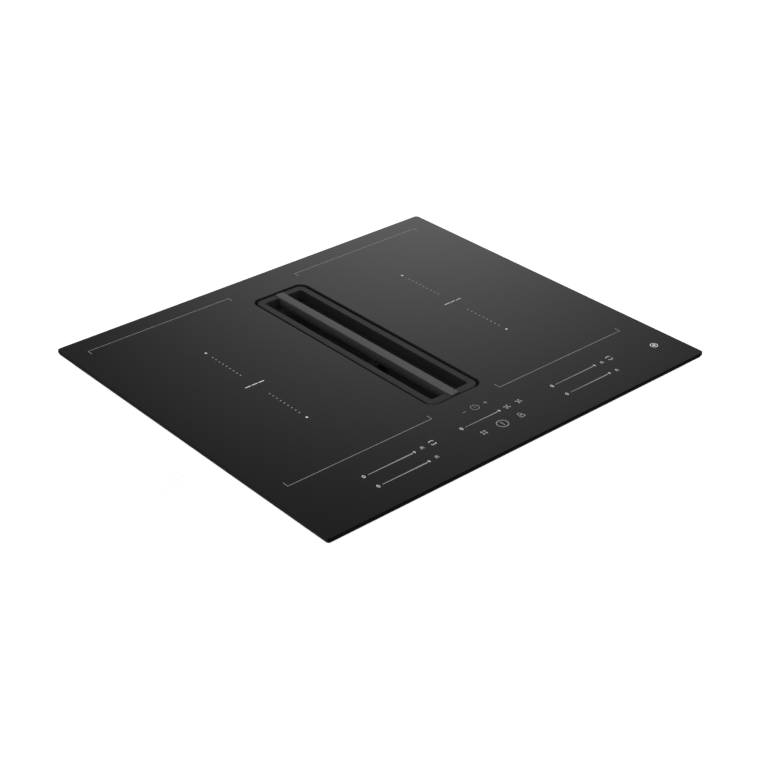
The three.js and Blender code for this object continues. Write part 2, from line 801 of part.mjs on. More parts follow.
const controlRib = controlHeight - 5;

function controlHolder() {
  const tray = tub(controlWidth, controlDepth, 4, controlWall, controlWall, controlHeight);
  const ribs = rowOf(2, controlDepth * 0.6, (y) =>
    centred(controlWidth - controlWall, 3, controlWall / 2, controlRib, 0, y));
  const reach = glassBottom - seatGap - controlHeight - panFloor - seatGap;
  const posts = [-controlPostX, controlPostX].flatMap((x) =>
    rowOf(2, controlDepth * 0.6, (y) => rod(4, -reach, controlWall / 2, x, y, 8)));
  return join(tray, ...ribs, ...posts);
}

function controlBoard() {
  const width = controlWidth - 2 * (controlWall + liftGap);
  const depth = controlDepth - 2 * (controlWall + liftGap);
  const board = centred(width, depth, 0, boardThickness);
  const keys = rowOf(7, width / 8, (x) => rod(5, boardThickness / 2, boardThickness + 1.5, x, 6, 8));
  return join(board, ...keys);
}

// Box under the pan, open below; its cover closes it and the gland looks to the back.
function terminalBox() {
  const shell = centred(terminalWidth, terminalDepth, -terminalHeight, 0);
  const inside = centred(
    terminalWidth - 2 * terminalWall, terminalDepth - 2 * terminalWall,
    -terminalHeight - 1, -terminalWall,
  );
  const glandHole = rod(glandBore + terminalWall + seatGap, -4 * terminalWall, 4 * terminalWall, 0, 0, 16)
    .rotateX(Math.PI / 2)
    .translate(0, terminalDepth / 2, -terminalHeight / 2);
  return cut(shell, inside, glandHole);
}

function terminalBlock() {
  const pitch = (terminalWidth - 6 * terminalWall) / terminalPoles;
  const body = centred(pitch * terminalPoles, terminalBlockDepth, -terminalBlockHeight, 0);
  const entryTop = (terminalEntryHeight - terminalBlockHeight) / 2;
  const entries = rowOf(terminalPoles, pitch, (x) => centred(
    pitch / 2, 2 * terminalBlockDepth, entryTop - terminalEntryHeight, entryTop, x,
  ));
  return cut(body, ...entries);
}

function terminalCover() {
  const lid = centred(terminalWidth, terminalDepth, -terminalWall, 0);
  const spigot = rimRound(
    terminalWidth - 4 * terminalWall - 2 * seatGap, terminalDepth - 4 * terminalWall - 2 * seatGap,
    2, terminalWall, -terminalWall / 2, 3,
  );
  return join(lid, spigot);
}

function cableGland() {
  const neck = glandBore + terminalWall;
  const inward = terminalWall + 3;
  return turned([
    [glandBore, -inward],
    [neck, -inward],
    [neck, seatGap],
    [glandRadius, seatGap],
    [glandRadius, 5],
    [neck, 7],
    [neck - 0.8, glandLength],
    [glandBore, glandLength],
    [glandBore, -inward],
  ], 16).rotateX(-Math.PI / 2);
}

// Arms swing out under the worktop about rivets through the pan's floor.
const clampPlaces = [-1, 1].flatMap((side) => [-1, 1].map((end) => ({
  name: `${end < 0 ? "front" : "rear"}_${side < 0 ? "left" : "right"}`,
  x: side * (panWidth / 2 - clampInset),
  y: end * (panDepth / 2 - clampEdge),
  toMiddle: -side,
})));

function clampArm(toMiddle) {
  const outline = roundedOutline(clampLength + clampWidth, clampWidth, clampWidth / 2 - 0.01);
  const arm = slab(outline, -clampThickness, 0).translate((toMiddle * clampLength) / 2, 0, 0);
  const tip = centred(
    clampThickness, clampWidth * 0.8, -4 * clampThickness, -clampThickness / 2,
    toMiddle * clampLength, 0,
  );
  return cut(join(arm, tip), rod(rivetRadius + turnGap, -2 * clampThickness, 1, 0, 0, 12));
}

function clampRivet() {
  const bottom = -clampThickness - 2 * seatGap;
  const top = panSheet + seatGap;
  return turned([
    [0, bottom - rivetHeadHeight],
    [rivetHead, bottom - rivetHeadHeight],
    [rivetHead, bottom],
    [rivetRadius, bottom],
    [rivetRadius, top],
    [rivetHead, top],
    [rivetHead, top + rivetHeadHeight],
    [0, top + rivetHeadHeight],
  ], 10);
}

// Top: plate, seals and the vent
const plateGroup = group([
  piece("glass_top", glassPlate(), "blackGlass", 0, 0, glassBottom),
  piece("rim_gasket", rimGasket(), "rubber", 0, 0, glassBottom - seatGap),
]);
const ventGroup = group([
  piece("air_shaft", airShaft(), "blackPlastic"),
  piece("slot_seal", slotSeal(), "rubber"),
  piece("vent_frame", ventFrame(), "satinBlack", 0, 0, glassBottom),
  piece("vent_wing", ventWing(), "greyMetal", 0, 0, glassBottom + ventLip),
  ...[-1, 1].map((end) => piece(
    `wing_screw_${end < 0 ? "front" : "rear"}`, wingScrew(), "steel",
    0, end * wingScrewY, glassBottom - ventSkirt,
  )),
  piece("filter_basket", filterBasket(), "filterMetal", 0, 0, filterBottom),
  ...[-1, 1].map((side) => piece(
    `filter_mesh_${side < 0 ? "left" : "right"}`, filterMesh(), "filterMetal",
    side * meshX, 0, filterBottom,
  )),
  piece("filter_handle", filterHandle(), "steel", 0, 0, filterBottom + meshTop + liftGap),
  piece(
    "drip_tray", tub(liftWidth, liftLength, liftCorner, sheetWall, sheetWall, trayHeight),
    "blackPlastic", 0, 0, trayBottom,
  ),
], 0, slotY, 0);

// Middle: the pan with coils, boards, fans and the touch control
const sensorHeight = glassBottom - seatGap - (formerZ + formerThickness + seatGap);
const boardTop = panFloor + seatGap + boardFoot + boardThickness;

function coilSet(side) {
  const word = side < 0 ? "left" : "right";
  const coils = [["front", coilFrontY], ["rear", coilBackY]].flatMap(([row, y]) => [
    piece(`coil_former_${row}_${word}`, coilFormer(), "ferrite", 0, y, formerZ),
    piece(`coil_winding_${row}_${word}`, coilWinding(), "copper", 0, y, coilTop - coilThickness),
    piece(
      `coil_sensor_${row}_${word}`, coilSensor(sensorHeight), "greyPlastic",
      0, y, formerZ + formerThickness + seatGap,
    ),
  ]);
  return group([
    ...coils,
    piece(`coil_carrier_${word}`, coilCarrier(), "aluminium", 0, coilMiddleY, carrierTop),
    piece(`power_board_${word}`, powerBoard(), "board", 0, boardY, panFloor + seatGap),
    piece(`heat_sink_${word}`, heatSink(), "aluminium", 0, boardY, boardTop + seatGap),
  ], side * coilX);
}

function fanSet(side) {
  const word = side < 0 ? "left" : "right";
  return group([
    piece(`fan_frame_${word}`, fanFrame(), "blackPlastic"),
    piece(`fan_rotor_${word}`, fanRotor(), "blackPlastic"),
  ], side * fanX, fanY, panFloor + seatGap);
}

const controlZ = glassBottom - seatGap - controlHeight;
const panGroup = group([
  piece("base_pan", basePan(), "zincSheet", 0, 0, panBottom),
  coilSet(-1),
  coilSet(1),
  fanSet(-1),
  fanSet(1),
  piece("control_holder", controlHolder(), "blackPlastic", 0, controlY, controlZ),
  piece("control_board", controlBoard(), "board", 0, controlY, controlZ + controlRib + seatGap),
]);

const clampGroup = group(clampPlaces.flatMap(({ name, x, y, toMiddle }) => [
  piece(`clamp_arm_${name}`, clampArm(toMiddle), "steel", x, y, panBottom - seatGap),
  piece(`clamp_rivet_${name}`, clampRivet(), "steel", x, y, panBottom),
]));

const terminalGroup = group([
  piece("terminal_box", terminalBox(), "greyPlastic", 0, 0, 0),
  piece("terminal_block", terminalBlock(), "blackPlastic", 0, -8, -terminalWall - seatGap),
  piece("terminal_cover", terminalCover(), "greyPlastic", 0, 0, -terminalHeight - seatGap),
  piece(
    "cable_gland", cableGland(), "blackPlastic", 0, terminalDepth / 2, -terminalHeight / 2,
  ),
], terminalX, terminalY, panBottom - seatGap);

// Bottom: the extractor
const extractorGroup = group([
  piece("lower_housing", lowerHousing(), "blackPlastic", housingX, slotY, 0),
  group([
    piece("blower_scroll", blowerScroll(), "greyPlastic", 0, 0, scrollFloor),
    piece("scroll_cover", scrollCover(), "greyPlastic", 0, 0, scrollFloor + scrollHeight + seatGap),
    piece(
      "damping_ring", tube(motorRadius, motorRadius * 0.6, 0, dampingRing), "rubber",
      0, 0, scrollFloor + scrollWall + seatGap,
    ),
    piece("blower_motor", motor(), "steel", 0, 0, motorBottom),
    piece(
      "motor_shaft", rod(shaftRadius, 0, 2 * shaftGrip + hubTop - motorHeight - 4, 0, 0, 16),
      "steel", 0, 0, motorBottom + motorHeight - shaftGrip + seatGap,
    ),
    piece("blower_impeller", impeller(), "blackPlastic", 0, 0, motorBottom),
  ], scrollX, scrollY),
  group([
    piece("outlet_flange", outletFlange(), "blackPlastic"),
    ...["upper", "lower"].map((row, i) => piece(
      `outlet_flap_${row}`, flap(), "greyPlastic", 0, flapInset, flapAxes[i],
    )),
  ], ductX, housingBack + seatGap, ductAxisZ),
]);

const cooktop = new THREE.Group();
cooktop.add(plateGroup, ventGroup, panGroup, clampGroup, terminalGroup, extractorGroup);

export default cooktop;
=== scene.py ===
import math

import bmesh
import bpy
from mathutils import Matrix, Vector


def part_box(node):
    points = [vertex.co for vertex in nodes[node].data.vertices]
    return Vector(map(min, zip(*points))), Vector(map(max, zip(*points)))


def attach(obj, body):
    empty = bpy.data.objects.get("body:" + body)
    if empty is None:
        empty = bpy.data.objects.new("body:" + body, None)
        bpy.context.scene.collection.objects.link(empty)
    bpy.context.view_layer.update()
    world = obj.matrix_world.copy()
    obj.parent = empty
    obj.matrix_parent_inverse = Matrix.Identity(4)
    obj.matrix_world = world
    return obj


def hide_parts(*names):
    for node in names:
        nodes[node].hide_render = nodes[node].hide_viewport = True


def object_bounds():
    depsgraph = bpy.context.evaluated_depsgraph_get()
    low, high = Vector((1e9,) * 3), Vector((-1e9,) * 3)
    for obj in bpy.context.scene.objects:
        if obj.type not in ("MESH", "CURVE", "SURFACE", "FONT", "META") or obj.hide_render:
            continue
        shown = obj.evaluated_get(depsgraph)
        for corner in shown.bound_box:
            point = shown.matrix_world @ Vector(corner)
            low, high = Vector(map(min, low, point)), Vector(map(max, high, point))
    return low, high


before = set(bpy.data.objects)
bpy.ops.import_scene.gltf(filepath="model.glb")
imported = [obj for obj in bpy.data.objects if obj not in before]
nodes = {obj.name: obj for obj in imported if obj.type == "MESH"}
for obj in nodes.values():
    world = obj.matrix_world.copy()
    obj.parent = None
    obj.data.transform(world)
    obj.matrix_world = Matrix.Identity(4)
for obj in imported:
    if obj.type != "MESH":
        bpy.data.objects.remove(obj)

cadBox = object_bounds()
mm = 0.001
near = 0.01 * mm  # closer than this counts as the same place
past = mm  # how far a cutting block runs past the face that it opens
roundEnd = 0.48  # share of a slot's width that rounds its ends almost fully
print("frame loaded:", len(nodes), "nodes")

# camera and light

photoCamera = {
    "lens": 78.062,
    "sensorWidth": 36,
    "place": (-1.1427, -1.3167, 1.1923),
    "heading": 40.962,  # from +Y towards +X, in degrees
    "down": 30.423,
}


def addCamera(values):
    data = bpy.data.cameras.new("photoCamera")
    data.lens = values["lens"]
    data.sensor_width = values["sensorWidth"]
    camera = bpy.data.objects.new("photoCamera", data)
    camera.location = values["place"]
    camera.rotation_euler = (
        math.radians(90 - values["down"]), 0, -math.radians(values["heading"]),
    )
    bpy.context.scene.collection.objects.link(camera)
    bpy.context.scene.camera = camera


addCamera(photoCamera)
bpy.context.scene.view_settings.view_transform = "Standard"

glassLow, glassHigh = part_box("glass_top")

surroundings = {
    "plainLight": 0.55,  # what diffuse surfaces get from all round
    "glowHeading": 42.5,  # the pale wall's brightest place, as the glass reflects it
    "glowRise": 21.1,
    # degrees away from that place, brightness there
    "glow": ((0, 1.12), (4, 0.86), (6, 0.71), (8, 0.555), (10, 0.41), (12, 0.29), (14, 0.19),
             (17, 0.13), (30, 0.12)),
    "horizon": 1.0,
    "horizonFade": 22,  # degrees up to where the pale wall ends
    # place, width, power
    "lamps": (
        ((-1.6, -1.1, 2.3), 1.4, 20),
        ((1.7, -1.4, 2.4), 1.2, 14),
        ((-0.7, 1.2, 2.6), 1.2, 10),
    ),
}


def addNode(tree, kind, inputs=(), **settings):
    node = tree.nodes.new(kind)
    for name, value in settings.items():
        setattr(node, name, value)
    for name, value in dict(inputs).items():
        if isinstance(value, bpy.types.NodeSocket):
            tree.links.new(value, node.inputs[name])
        else:
            node.inputs[name].default_value = value
    return node


def calculate(tree, operation, *values, **settings):
    node = addNode(tree, "ShaderNodeMath", dict(enumerate(values)), operation=operation, **settings)
    return node.outputs[0]


def direction(heading, rise):
    h, e = math.radians(heading), math.radians(rise)
    return (math.sin(h) * math.cos(e), math.cos(h) * math.cos(e), math.sin(e))


def fillRamp(ramp, stops):
    while len(ramp.elements) > 1:
        ramp.elements.remove(ramp.elements[-1])
    for i, (place, bright) in enumerate(stops):
        stop = ramp.elements[0] if i == 0 else ramp.elements.new(place)
        stop.position = place
        stop.color = (bright, bright, bright, 1)


# White to the camera; to gloss a pale wall that is brightest behind the plate's far corner.
def addSurroundings(values):
    world = bpy.data.worlds.new("studio")
    bpy.context.scene.world = world
    world.use_nodes = True
    tree = world.node_tree
    tree.nodes.clear()
    place = addNode(tree, "ShaderNodeTexCoord").outputs["Generated"]
    towards = addNode(tree, "ShaderNodeVectorMath", {
        0: place, 1: direction(values["glowHeading"], values["glowRise"]),
    }, operation="DOT_PRODUCT")
    away = calculate(tree, "ARCCOSINE", towards.outputs["Value"])
    widest = values["glow"][-1][0]
    share = calculate(tree, "DIVIDE", away, math.radians(widest))
    glow = addNode(tree, "ShaderNodeValToRGB", {"Fac": share})
    fillRamp(glow.color_ramp, [(degrees / widest, bright) for degrees, bright in values["glow"]])
    low = addNode(tree, "ShaderNodeMapRange", {
        "Value": addNode(tree, "ShaderNodeSeparateXYZ", {"Vector": place}).outputs["Z"],
        "From Min": 0, "From Max": math.sin(math.radians(values["horizonFade"])),
        "To Min": values["horizon"], "To Max": 0,
    }, interpolation_type="SMOOTHERSTEP")
    gloss = calculate(tree, "MAXIMUM", glow.outputs["Color"], low.outputs[0])
    rays = addNode(tree, "ShaderNodeLightPath").outputs
    forGloss = addNode(tree, "ShaderNodeMix", {
        "Factor": rays["Is Glossy Ray"], "A": values["plainLight"], "B": gloss,
    })
    seen = calculate(tree, "MAXIMUM", rays["Is Camera Ray"], rays["Is Transmission Ray"])
    strength = addNode(tree, "ShaderNodeMix", {"Factor": seen, "A": forGloss.outputs[0], "B": 1.0})
    background = addNode(tree, "ShaderNodeBackground", {
        "Color": (1, 1, 1, 1), "Strength": strength.outputs[0],
    })
    addNode(tree, "ShaderNodeOutputWorld", {"Surface": background.outputs[0]})


def addLamps(values):
    aim = (glassLow + glassHigh) / 2
    for i, (place, width, power) in enumerate(values["lamps"]):
        data = bpy.data.lights.new(f"softbox{i + 1}", "AREA")
        data.energy = power
        data.size = width
        lamp = bpy.data.objects.new(f"softbox{i + 1}", data)
        lamp.location = place
        lamp.rotation_euler = (aim - Vector(place)).to_track_quat("-Z", "Y").to_euler()
        bpy.context.scene.collection.objects.link(lamp)


addSurroundings(surroundings)
addLamps(surroundings)
print("camera, light and surroundings placed")

# modelling helpers


def startFresh():
    if bpy.context.mode != "OBJECT":
        bpy.ops.object.mode_set(mode="OBJECT")
    bpy.ops.object.select_all(action="DESELECT")


def takeOnly(piece):
    startFresh()
    piece.select_set(True)
    bpy.context.view_layer.objects.active = piece


def named(name):
    piece = bpy.context.object
    piece.name = name
    bpy.ops.object.transform_apply(location=True, rotation=True, scale=True)
    return piece


def addBlock(name, low, high):
    startFresh()
    low, high = Vector(low), Vector(high)
    bpy.ops.mesh.primitive_cube_add(size=1, location=(low + high) / 2, scale=high - low)
    return named(name)


def addRod(name, radius, low, high, x=0, y=0, sides=32):
    startFresh()
    bpy.ops.mesh.primitive_cylinder_add(
        vertices=sides, radius=radius, depth=high - low, location=(x, y, (low + high) / 2),
    )
    return named(name)


def turnedTo(piece, place, turn=(0, 0, 0)):
    piece.location = place
    piece.rotation_euler = turn
    takeOnly(piece)
    return named(piece.name)


def copyTo(source, place, turn, name=None):
    takeOnly(source)
    bpy.ops.object.duplicate(linked=False)
    twin = bpy.context.object
    twin.name = name or source.name
    return turnedTo(twin, place, turn)


def pick(piece, kind, wanted):
    takeOnly(piece)
    bpy.ops.object.mode_set(mode="EDIT")
    bpy.ops.mesh.select_mode(type=kind)
    bpy.ops.mesh.select_all(action="DESELECT")
    mesh = bmesh.from_edit_mesh(piece.data)
    for item in {"VERT": mesh.verts, "EDGE": mesh.edges, "FACE": mesh.faces}[kind]:
        item.select_set(bool(wanted(item)))
    mesh.select_flush_mode()
    bmesh.update_edit_mesh(piece.data)


def done():
    bpy.ops.object.mode_set(mode="OBJECT")


def anywhere(place):
    return True


# Edges that run along an axis (0 to 2), where their place suits.
def runsAlong(axis, suits=anywhere):
    def wanted(edge):
        a, b = (vert.co for vert in edge.verts)
        return suits(a) and all(abs(a[i] - b[i]) < near for i in range(3) if i != axis)
    return wanted


# Rim edges: level edges at a height between a flat face and a side.
def rimAt(z):
    def wanted(edge):
        flat = [abs(face.normal.z) > 0.9 for face in edge.link_faces]
        level = all(abs(vert.co.z - z) < near for vert in edge.verts)
        return level and any(flat) and not all(flat)
    return wanted


def bevel(piece, wanted, width, segments):
    pick(piece, "EDGE", wanted)
    bpy.ops.mesh.bevel(offset=width, segments=segments, profile=0.5, affect="EDGES")
    done()


def softenRim(piece, z, width, segments=2):
    bevel(piece, rimAt(z), width, segments)


# A block whose edges along one axis are rounded, the upright ones if nothing else is said.
def roundBlock(name, low, high, radius, segments=8, axis=2, suits=anywhere):
    block = addBlock(name, low, high)
    bevel(block, runsAlong(axis, suits), radius, segments)
    return block


# A rounded block given by its middle, its width and length, and its two heights.
def roundSlot(x, y, size, heights, radius, segments):
    width, length = size
    return roundBlock(
        "slot", (x - width / 2, y - length / 2, heights[0]),
        (x + width / 2, y + length / 2, heights[1]), radius, segments,
    )


# The corners of a box with its sides drawn in and its floor and top moved.
def drawnIn(low, high, x, y, floor=0, top=0):
    return (
        Vector((low.x + x, low.y + y, low.z + floor)),
        Vector((high.x - x, high.y - y, high.z + top)),
    )


# Joins doubled corners and drops faces with no size.
def weld(piece, reach=0.001 * mm):
    pick(piece, "VERT", lambda vert: True)
    bpy.ops.mesh.remove_doubles(threshold=reach)
    bpy.ops.mesh.dissolve_degenerate(threshold=reach)
    done()


def combine(piece, other, operation="DIFFERENCE"):
    modifier = piece.modifiers.new("combine", "BOOLEAN")
    modifier.operation = operation
    modifier.solver = "EXACT"
    modifier.object = other
    takeOnly(piece)
    bpy.ops.object.modifier_apply(modifier=modifier.name)
    bpy.data.objects.remove(other)
    return piece


def joinAll(pieces, name):
    startFresh()
    for piece in pieces:
        piece.select_set(True)
    bpy.context.view_layer.objects.active = pieces[0]
    bpy.ops.object.join()
    pieces[0].name = name
    return pieces[0]


# Copies of a piece at each place and turn, joined under its name.
def spread(piece, places):
    name = piece.name
    copies = [copyTo(piece, place, turn) for place, turn in places]
    bpy.data.objects.remove(piece)
    return joinAll(copies, name)


def middleOf(low, high):
    return (low + high) / 2


# Evenly spaced places about a middle.
def rowOf(count, pitch, middle=0):
    return [middle + (i - (count - 1) / 2) * pitch for i in range(count)]


def finishPiece(piece, slotName, replaced=(), body="root", look=None, angle=35):
    takeOnly(piece)
    bpy.ops.object.shade_smooth_by_angle(angle=math.radians(angle))
    evener = piece.modifiers.new("evenNormals", "WEIGHTED_NORMAL")
    evener.keep_sharp = True
    bpy.ops.object.modifier_apply(modifier=evener.name)
    piece.data.materials.clear()
    piece.data.materials.append(looks[look or slotName])
    for polygon in piece.data.polygons:
        polygon.material_index = 0
    if replaced:
        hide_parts(*replaced)
    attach(piece, body)


# stage

stageValues = {
    "floorSize": 9,
    "floorDrop": 0.5 * mm,
    # the pale worktop hides what the photograph hides, and no more (x and y in mm)
    "worktop": (
        (-300, 222), (-326, 165), (-329, -60), (-430, -110), (-438, -440), (40, -440), (58, -372),
        (128, -312), (214, -308), (264, -262), (264, -246), (-281, -246), (-281, 222),
    ),
    "worktopGap": 0.3 * mm,
    "worktopThickness": 2.5 * mm,
    "paleColour": 0.8,
    "ownGlow": 0.5,  # share of plain white in what the camera sees
    "glowStrength": 1.6,
}


def palePaint(values):
    material = bpy.data.materials.new("palePaint")
    material.use_nodes = True
    tree = material.node_tree
    tree.nodes.clear()
    shade = values["paleColour"]
    pale = addNode(tree, "ShaderNodeBsdfDiffuse", {"Color": (shade, shade, shade, 1)})
    white = addNode(tree, "ShaderNodeEmission", {"Strength": values["glowStrength"]})
    rays = addNode(tree, "ShaderNodeLightPath").outputs
    seen = calculate(tree, "MAXIMUM", rays["Is Camera Ray"], rays["Is Glossy Ray"])
    seen = calculate(tree, "MAXIMUM", seen, rays["Is Transmission Ray"])
    share = calculate(tree, "MULTIPLY", seen, values["ownGlow"])
    mixed = addNode(tree, "ShaderNodeMixShader", {
        0: share, 1: pale.outputs[0], 2: white.outputs[0],
    })
    addNode(tree, "ShaderNodeOutputMaterial", {"Surface": mixed.outputs[0]})
    return material


def addStage(values):
    startFresh()
    bpy.ops.mesh.primitive_plane_add(
        size=values["floorSize"], location=(0, 0, cadBox[0].z - values["floorDrop"]),
    )
    floor = named("floor")
    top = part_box("rim_gasket")[0].z - values["worktopGap"]
    startFresh()
    bpy.ops.mesh.primitive_circle_add(vertices=len(values["worktop"]), fill_type="NGON")
    worktop = named("worktop")
    for vertex, (x, y) in zip(worktop.data.vertices, values["worktop"]):
        vertex.co = (x * mm, y * mm, top)
    pick(worktop, "FACE", lambda face: True)
    bpy.ops.mesh.extrude_region_move(
        TRANSFORM_OT_translate={"value": (0, 0, -values["worktopThickness"])},
    )
    bpy.ops.mesh.select_all(action="SELECT")
    bpy.ops.mesh.normals_make_consistent(inside=False)
    done()
    worktop.visible_shadow = False
    paint = palePaint(values)
    for piece in (floor, worktop):
        piece.data.materials.append(paint)


addStage(stageValues)
print("stage built")

# finishes


# A group has the same named inputs and outputs whatever its pattern is.
def startPattern(name):
    group = bpy.data.node_groups.new(name, "ShaderNodeTree")
    for way, sockets in (
        ("INPUT", {"Vector": "Vector", "Colour": "Color", "Shade": "Color", "Scale": "Float",
                   "Roughness": "Float", "Spread": "Float"}),
        ("OUTPUT", {"Colour": "Color", "Roughness": "Float", "Height": "Float"}),
    ):
        for label, kind in sockets.items():
            group.interface.new_socket(name=label, in_out=way, socket_type="NodeSocket" + kind)
    return group, group.nodes.new("NodeGroupInput").outputs


def endPattern(group, given, tone, gloss, height):
    colour = addNode(group, "ShaderNodeMix", {0: tone, 6: given["Colour"], 7: given["Shade"]},
                     data_type="RGBA")
    middle = calculate(group, "SUBTRACT", gloss, 0.5)
    rough = calculate(group, "MULTIPLY_ADD", middle, given["Spread"], given["Roughness"],
                      use_clamp=True)
    out = group.nodes.new("NodeGroupOutput")
    group.links.new(colour.outputs[2], out.inputs["Colour"])
    group.links.new(rough, out.inputs["Roughness"])
    group.links.new(height, out.inputs["Height"])
    return group


def noiseOf(group, given, times, detail):
    return addNode(group, "ShaderNodeTexNoise", {
        "Vector": given["Vector"], "Detail": detail,
        "Scale": calculate(group, "MULTIPLY", given["Scale"], times),
    }).outputs["Fac"]


def stretchTone(group, value, low, high):
    return addNode(group, "ShaderNodeMapRange", {
        "Value": value, "From Min": low, "From Max": high,
    }, interpolation_type="SMOOTHSTEP").outputs[0]


# Each pattern gives its tone, its gloss and its height.
# Fine moulded or enamelled skin with soft cloudy changes.
def mouldedSkin(group, given):
    fine = noiseOf(group, given, 1, 3)
    cloud = noiseOf(group, given, 0.02, 3)
    return stretchTone(group, cloud, 0.35, 0.7), cloud, fine


# Rolled or brushed metal: the material stretches the vector along the rolling direction.
def rolledMetal(group, given):
    streak = noiseOf(group, given, 1, 4)
    stain = noiseOf(group, given, 0.08, 2)
    return stretchTone(group, streak, 0.3, 0.75), stain, streak


# Crystals of hot-dip zinc, each with its own tone and gloss.
def zincFlakes(group, given):
    flakes = addNode(group, "ShaderNodeTexVoronoi", {
        "Vector": given["Vector"], "Scale": given["Scale"], "Randomness": 0.9,
    })
    parts = addNode(group, "ShaderNodeSeparateColor", {0: flakes.outputs["Color"]}).outputs
    stain = noiseOf(group, given, 0.06, 3)
    return calculate(group, "MULTIPLY", parts[0], stain), parts[1], parts[2]


# Wiped glass: broad soft smears in the gloss only.
def wipedGlass(group, given):
    smear = noiseOf(group, given, 1, 3)
    speck = noiseOf(group, given, 60, 1)
    return stretchTone(group, speck, 0.74, 0.8), smear, smear


# Copper tracks and pads under green lacquer.
def boardTracks(group, given):
    tracks = addNode(group, "ShaderNodeTexBrick", {
        "Vector": given["Vector"], "Scale": given["Scale"], "Mortar Size": 0.012, "Bias": 0.2,
        "Brick Width": 0.9, "Row Height": 0.18,
    }).outputs["Fac"]
    return tracks, noiseOf(group, given, 0.3, 2), tracks


patterns = {}
for drawPattern in (mouldedSkin, rolledMetal, zincFlakes, wipedGlass, boardTracks):
    group, given = startPattern(drawPattern.__name__)
    patterns[drawPattern.__name__] = endPattern(group, given, *drawPattern(group, given))

finishValues = {
    # pattern, colour, shade, scale, roughness, spread, bump in mm, metallic, stretch
    "black_glass": ("wipedGlass", 0.0045, 0.009, 5, 0.05, 0.03, 0),
    # the three edge tones are dull copies of the glass's edge: the darkest is painted shade, the two
    # lighter ones painted light
    "ground_edge": ("mouldedSkin", 0.0022, 0.0016, 900, 0.7, 0.1, 0.01),
    "side_edge": ("mouldedSkin", 0.0155, 0.0130, 900, 0.7, 0.1, 0.01),
    "slot_edge": ("mouldedSkin", 0.020, 0.017, 900, 0.7, 0.1, 0.01),
    "print_ink": ("mouldedSkin", 0.75, 0.66, 900, 0.5, 0.1, 0.01),
    "grey_ink": ("mouldedSkin", 0.34, 0.29, 900, 0.5, 0.1, 0.01),
    "vent_enamel": ("mouldedSkin", 0.0066, 0.0052, 1600, 0.36, 0.12, 0.012),
    # lighter copy of the enamel for the opening's inside walls: painted light where light falls in
    "vent_lining": ("mouldedSkin", 0.0165, 0.0135, 1600, 0.6, 0.12, 0.012),
    "wing_metal": ("rolledMetal", 0.092, 0.080, 500, 0.34, 0.12, 0.006, 0.35, (1, 0.03, 1)),
    "seal_rubber": ("mouldedSkin", 0.0075, 0.005, 1500, 0.82, 0.2, 0.05),
    "zinc_sheet": ("zincFlakes", (0.50, 0.52, 0.53), (0.36, 0.38, 0.40), 110, 0.36, 0.14, 0, 1),
    "black_plastic": ("mouldedSkin", 0.021, 0.015, 1300, 0.5, 0.12, 0.03),
    "grey_plastic": ("mouldedSkin", (0.16, 0.165, 0.17), (0.13, 0.134, 0.14), 1300, 0.5, 0.12,
                     0.03),
    "filter_metal": ("rolledMetal", 0.094, 0.074, 700, 0.42, 0.15, 0.01, 0.5, (1, 0.1, 1)),
    "coil_copper": ("rolledMetal", (0.50, 0.20, 0.09), (0.36, 0.13, 0.06), 900, 0.38, 0.12, 0.05,
                    1, (1, 0.05, 1)),
    "ferrite_grey": ("mouldedSkin", (0.05, 0.048, 0.046), (0.038, 0.036, 0.035), 1100, 0.62,
                     0.15, 0.03),
    "circuit_board": ("boardTracks", (0.02, 0.11, 0.05), (0.04, 0.2, 0.08), 60, 0.42, 0.1, 0.02),
    "bare_aluminium": ("rolledMetal", (0.58, 0.59, 0.60), (0.47, 0.48, 0.49), 500, 0.34, 0.12,
                       0.006, 1, (1, 0.04, 1)),
    "bright_steel": ("rolledMetal", (0.46, 0.47, 0.48), (0.34, 0.35, 0.36), 600, 0.32, 0.12,
                     0.006, 1, (0.05, 1, 1)),
}
plainSheen = 0.5
dullSheens = {"ground_edge": 0.03, "side_edge": 0.03, "slot_edge": 0.03, "seal_rubber": 0.12}


def asColour(tone):
    return (*tone, 1) if isinstance(tone, tuple) else (tone, tone * 1.02, tone * 1.04, 1)


def addFinish(name, pattern, colour, shade, scale, roughness, spread, bump, metallic=0,
              stretch=(1, 1, 1)):
    words = name.split("_")
    material = bpy.data.materials.new(words[0] + "".join(word.title() for word in words[1:]))
    material.use_nodes = True
    tree = material.node_tree
    shader = tree.nodes["Principled BSDF"].inputs
    shader["Metallic"].default_value = metallic
    shader["Specular IOR Level"].default_value = dullSheens.get(name, plainSheen)
    place = addNode(tree, "ShaderNodeTexCoord").outputs["Object"]
    placed = addNode(tree, "ShaderNodeMapping", {"Vector": place, "Scale": stretch})
    drawn = addNode(tree, "ShaderNodeGroup", {
        "Vector": placed.outputs[0], "Colour": asColour(colour), "Shade": asColour(shade),
        "Scale": scale, "Roughness": roughness, "Spread": spread,
    }, node_tree=patterns[pattern]).outputs
    tree.links.new(drawn["Colour"], shader["Base Color"])
    tree.links.new(drawn["Roughness"], shader["Roughness"])
    if bump:
        relief = addNode(tree, "ShaderNodeBump", {"Distance": bump * mm, "Height": drawn["Height"]})
        tree.links.new(relief.outputs[0], shader["Normal"])
    return material


looks = {name: addFinish(name, *values) for name, values in finishValues.items()}
for node in nodes.values():
    slotName = node.data.materials[0].name.split(".")[0]
    node.material_slots[0].material = looks[slotName]
print("finishes given to the CAD nodes")

# glass plate

printHeight = 0.03 * mm
glassTop = glassHigh.z - printHeight

glassValues = {
    "corner": 5 * mm,
    "arris": 0.5 * mm,
    "slotSize": (83.4 * mm, 342.4 * mm),
    "slotMiddle": 33 * mm,
    "slotCorner": 13 * mm,
    "gasketWidth": 10 * mm,
    "gasketCorner": 3.5 * mm,
    "gasketInnerCorner": 1 * mm,
    "gasketLip": 0.6 * mm,
}
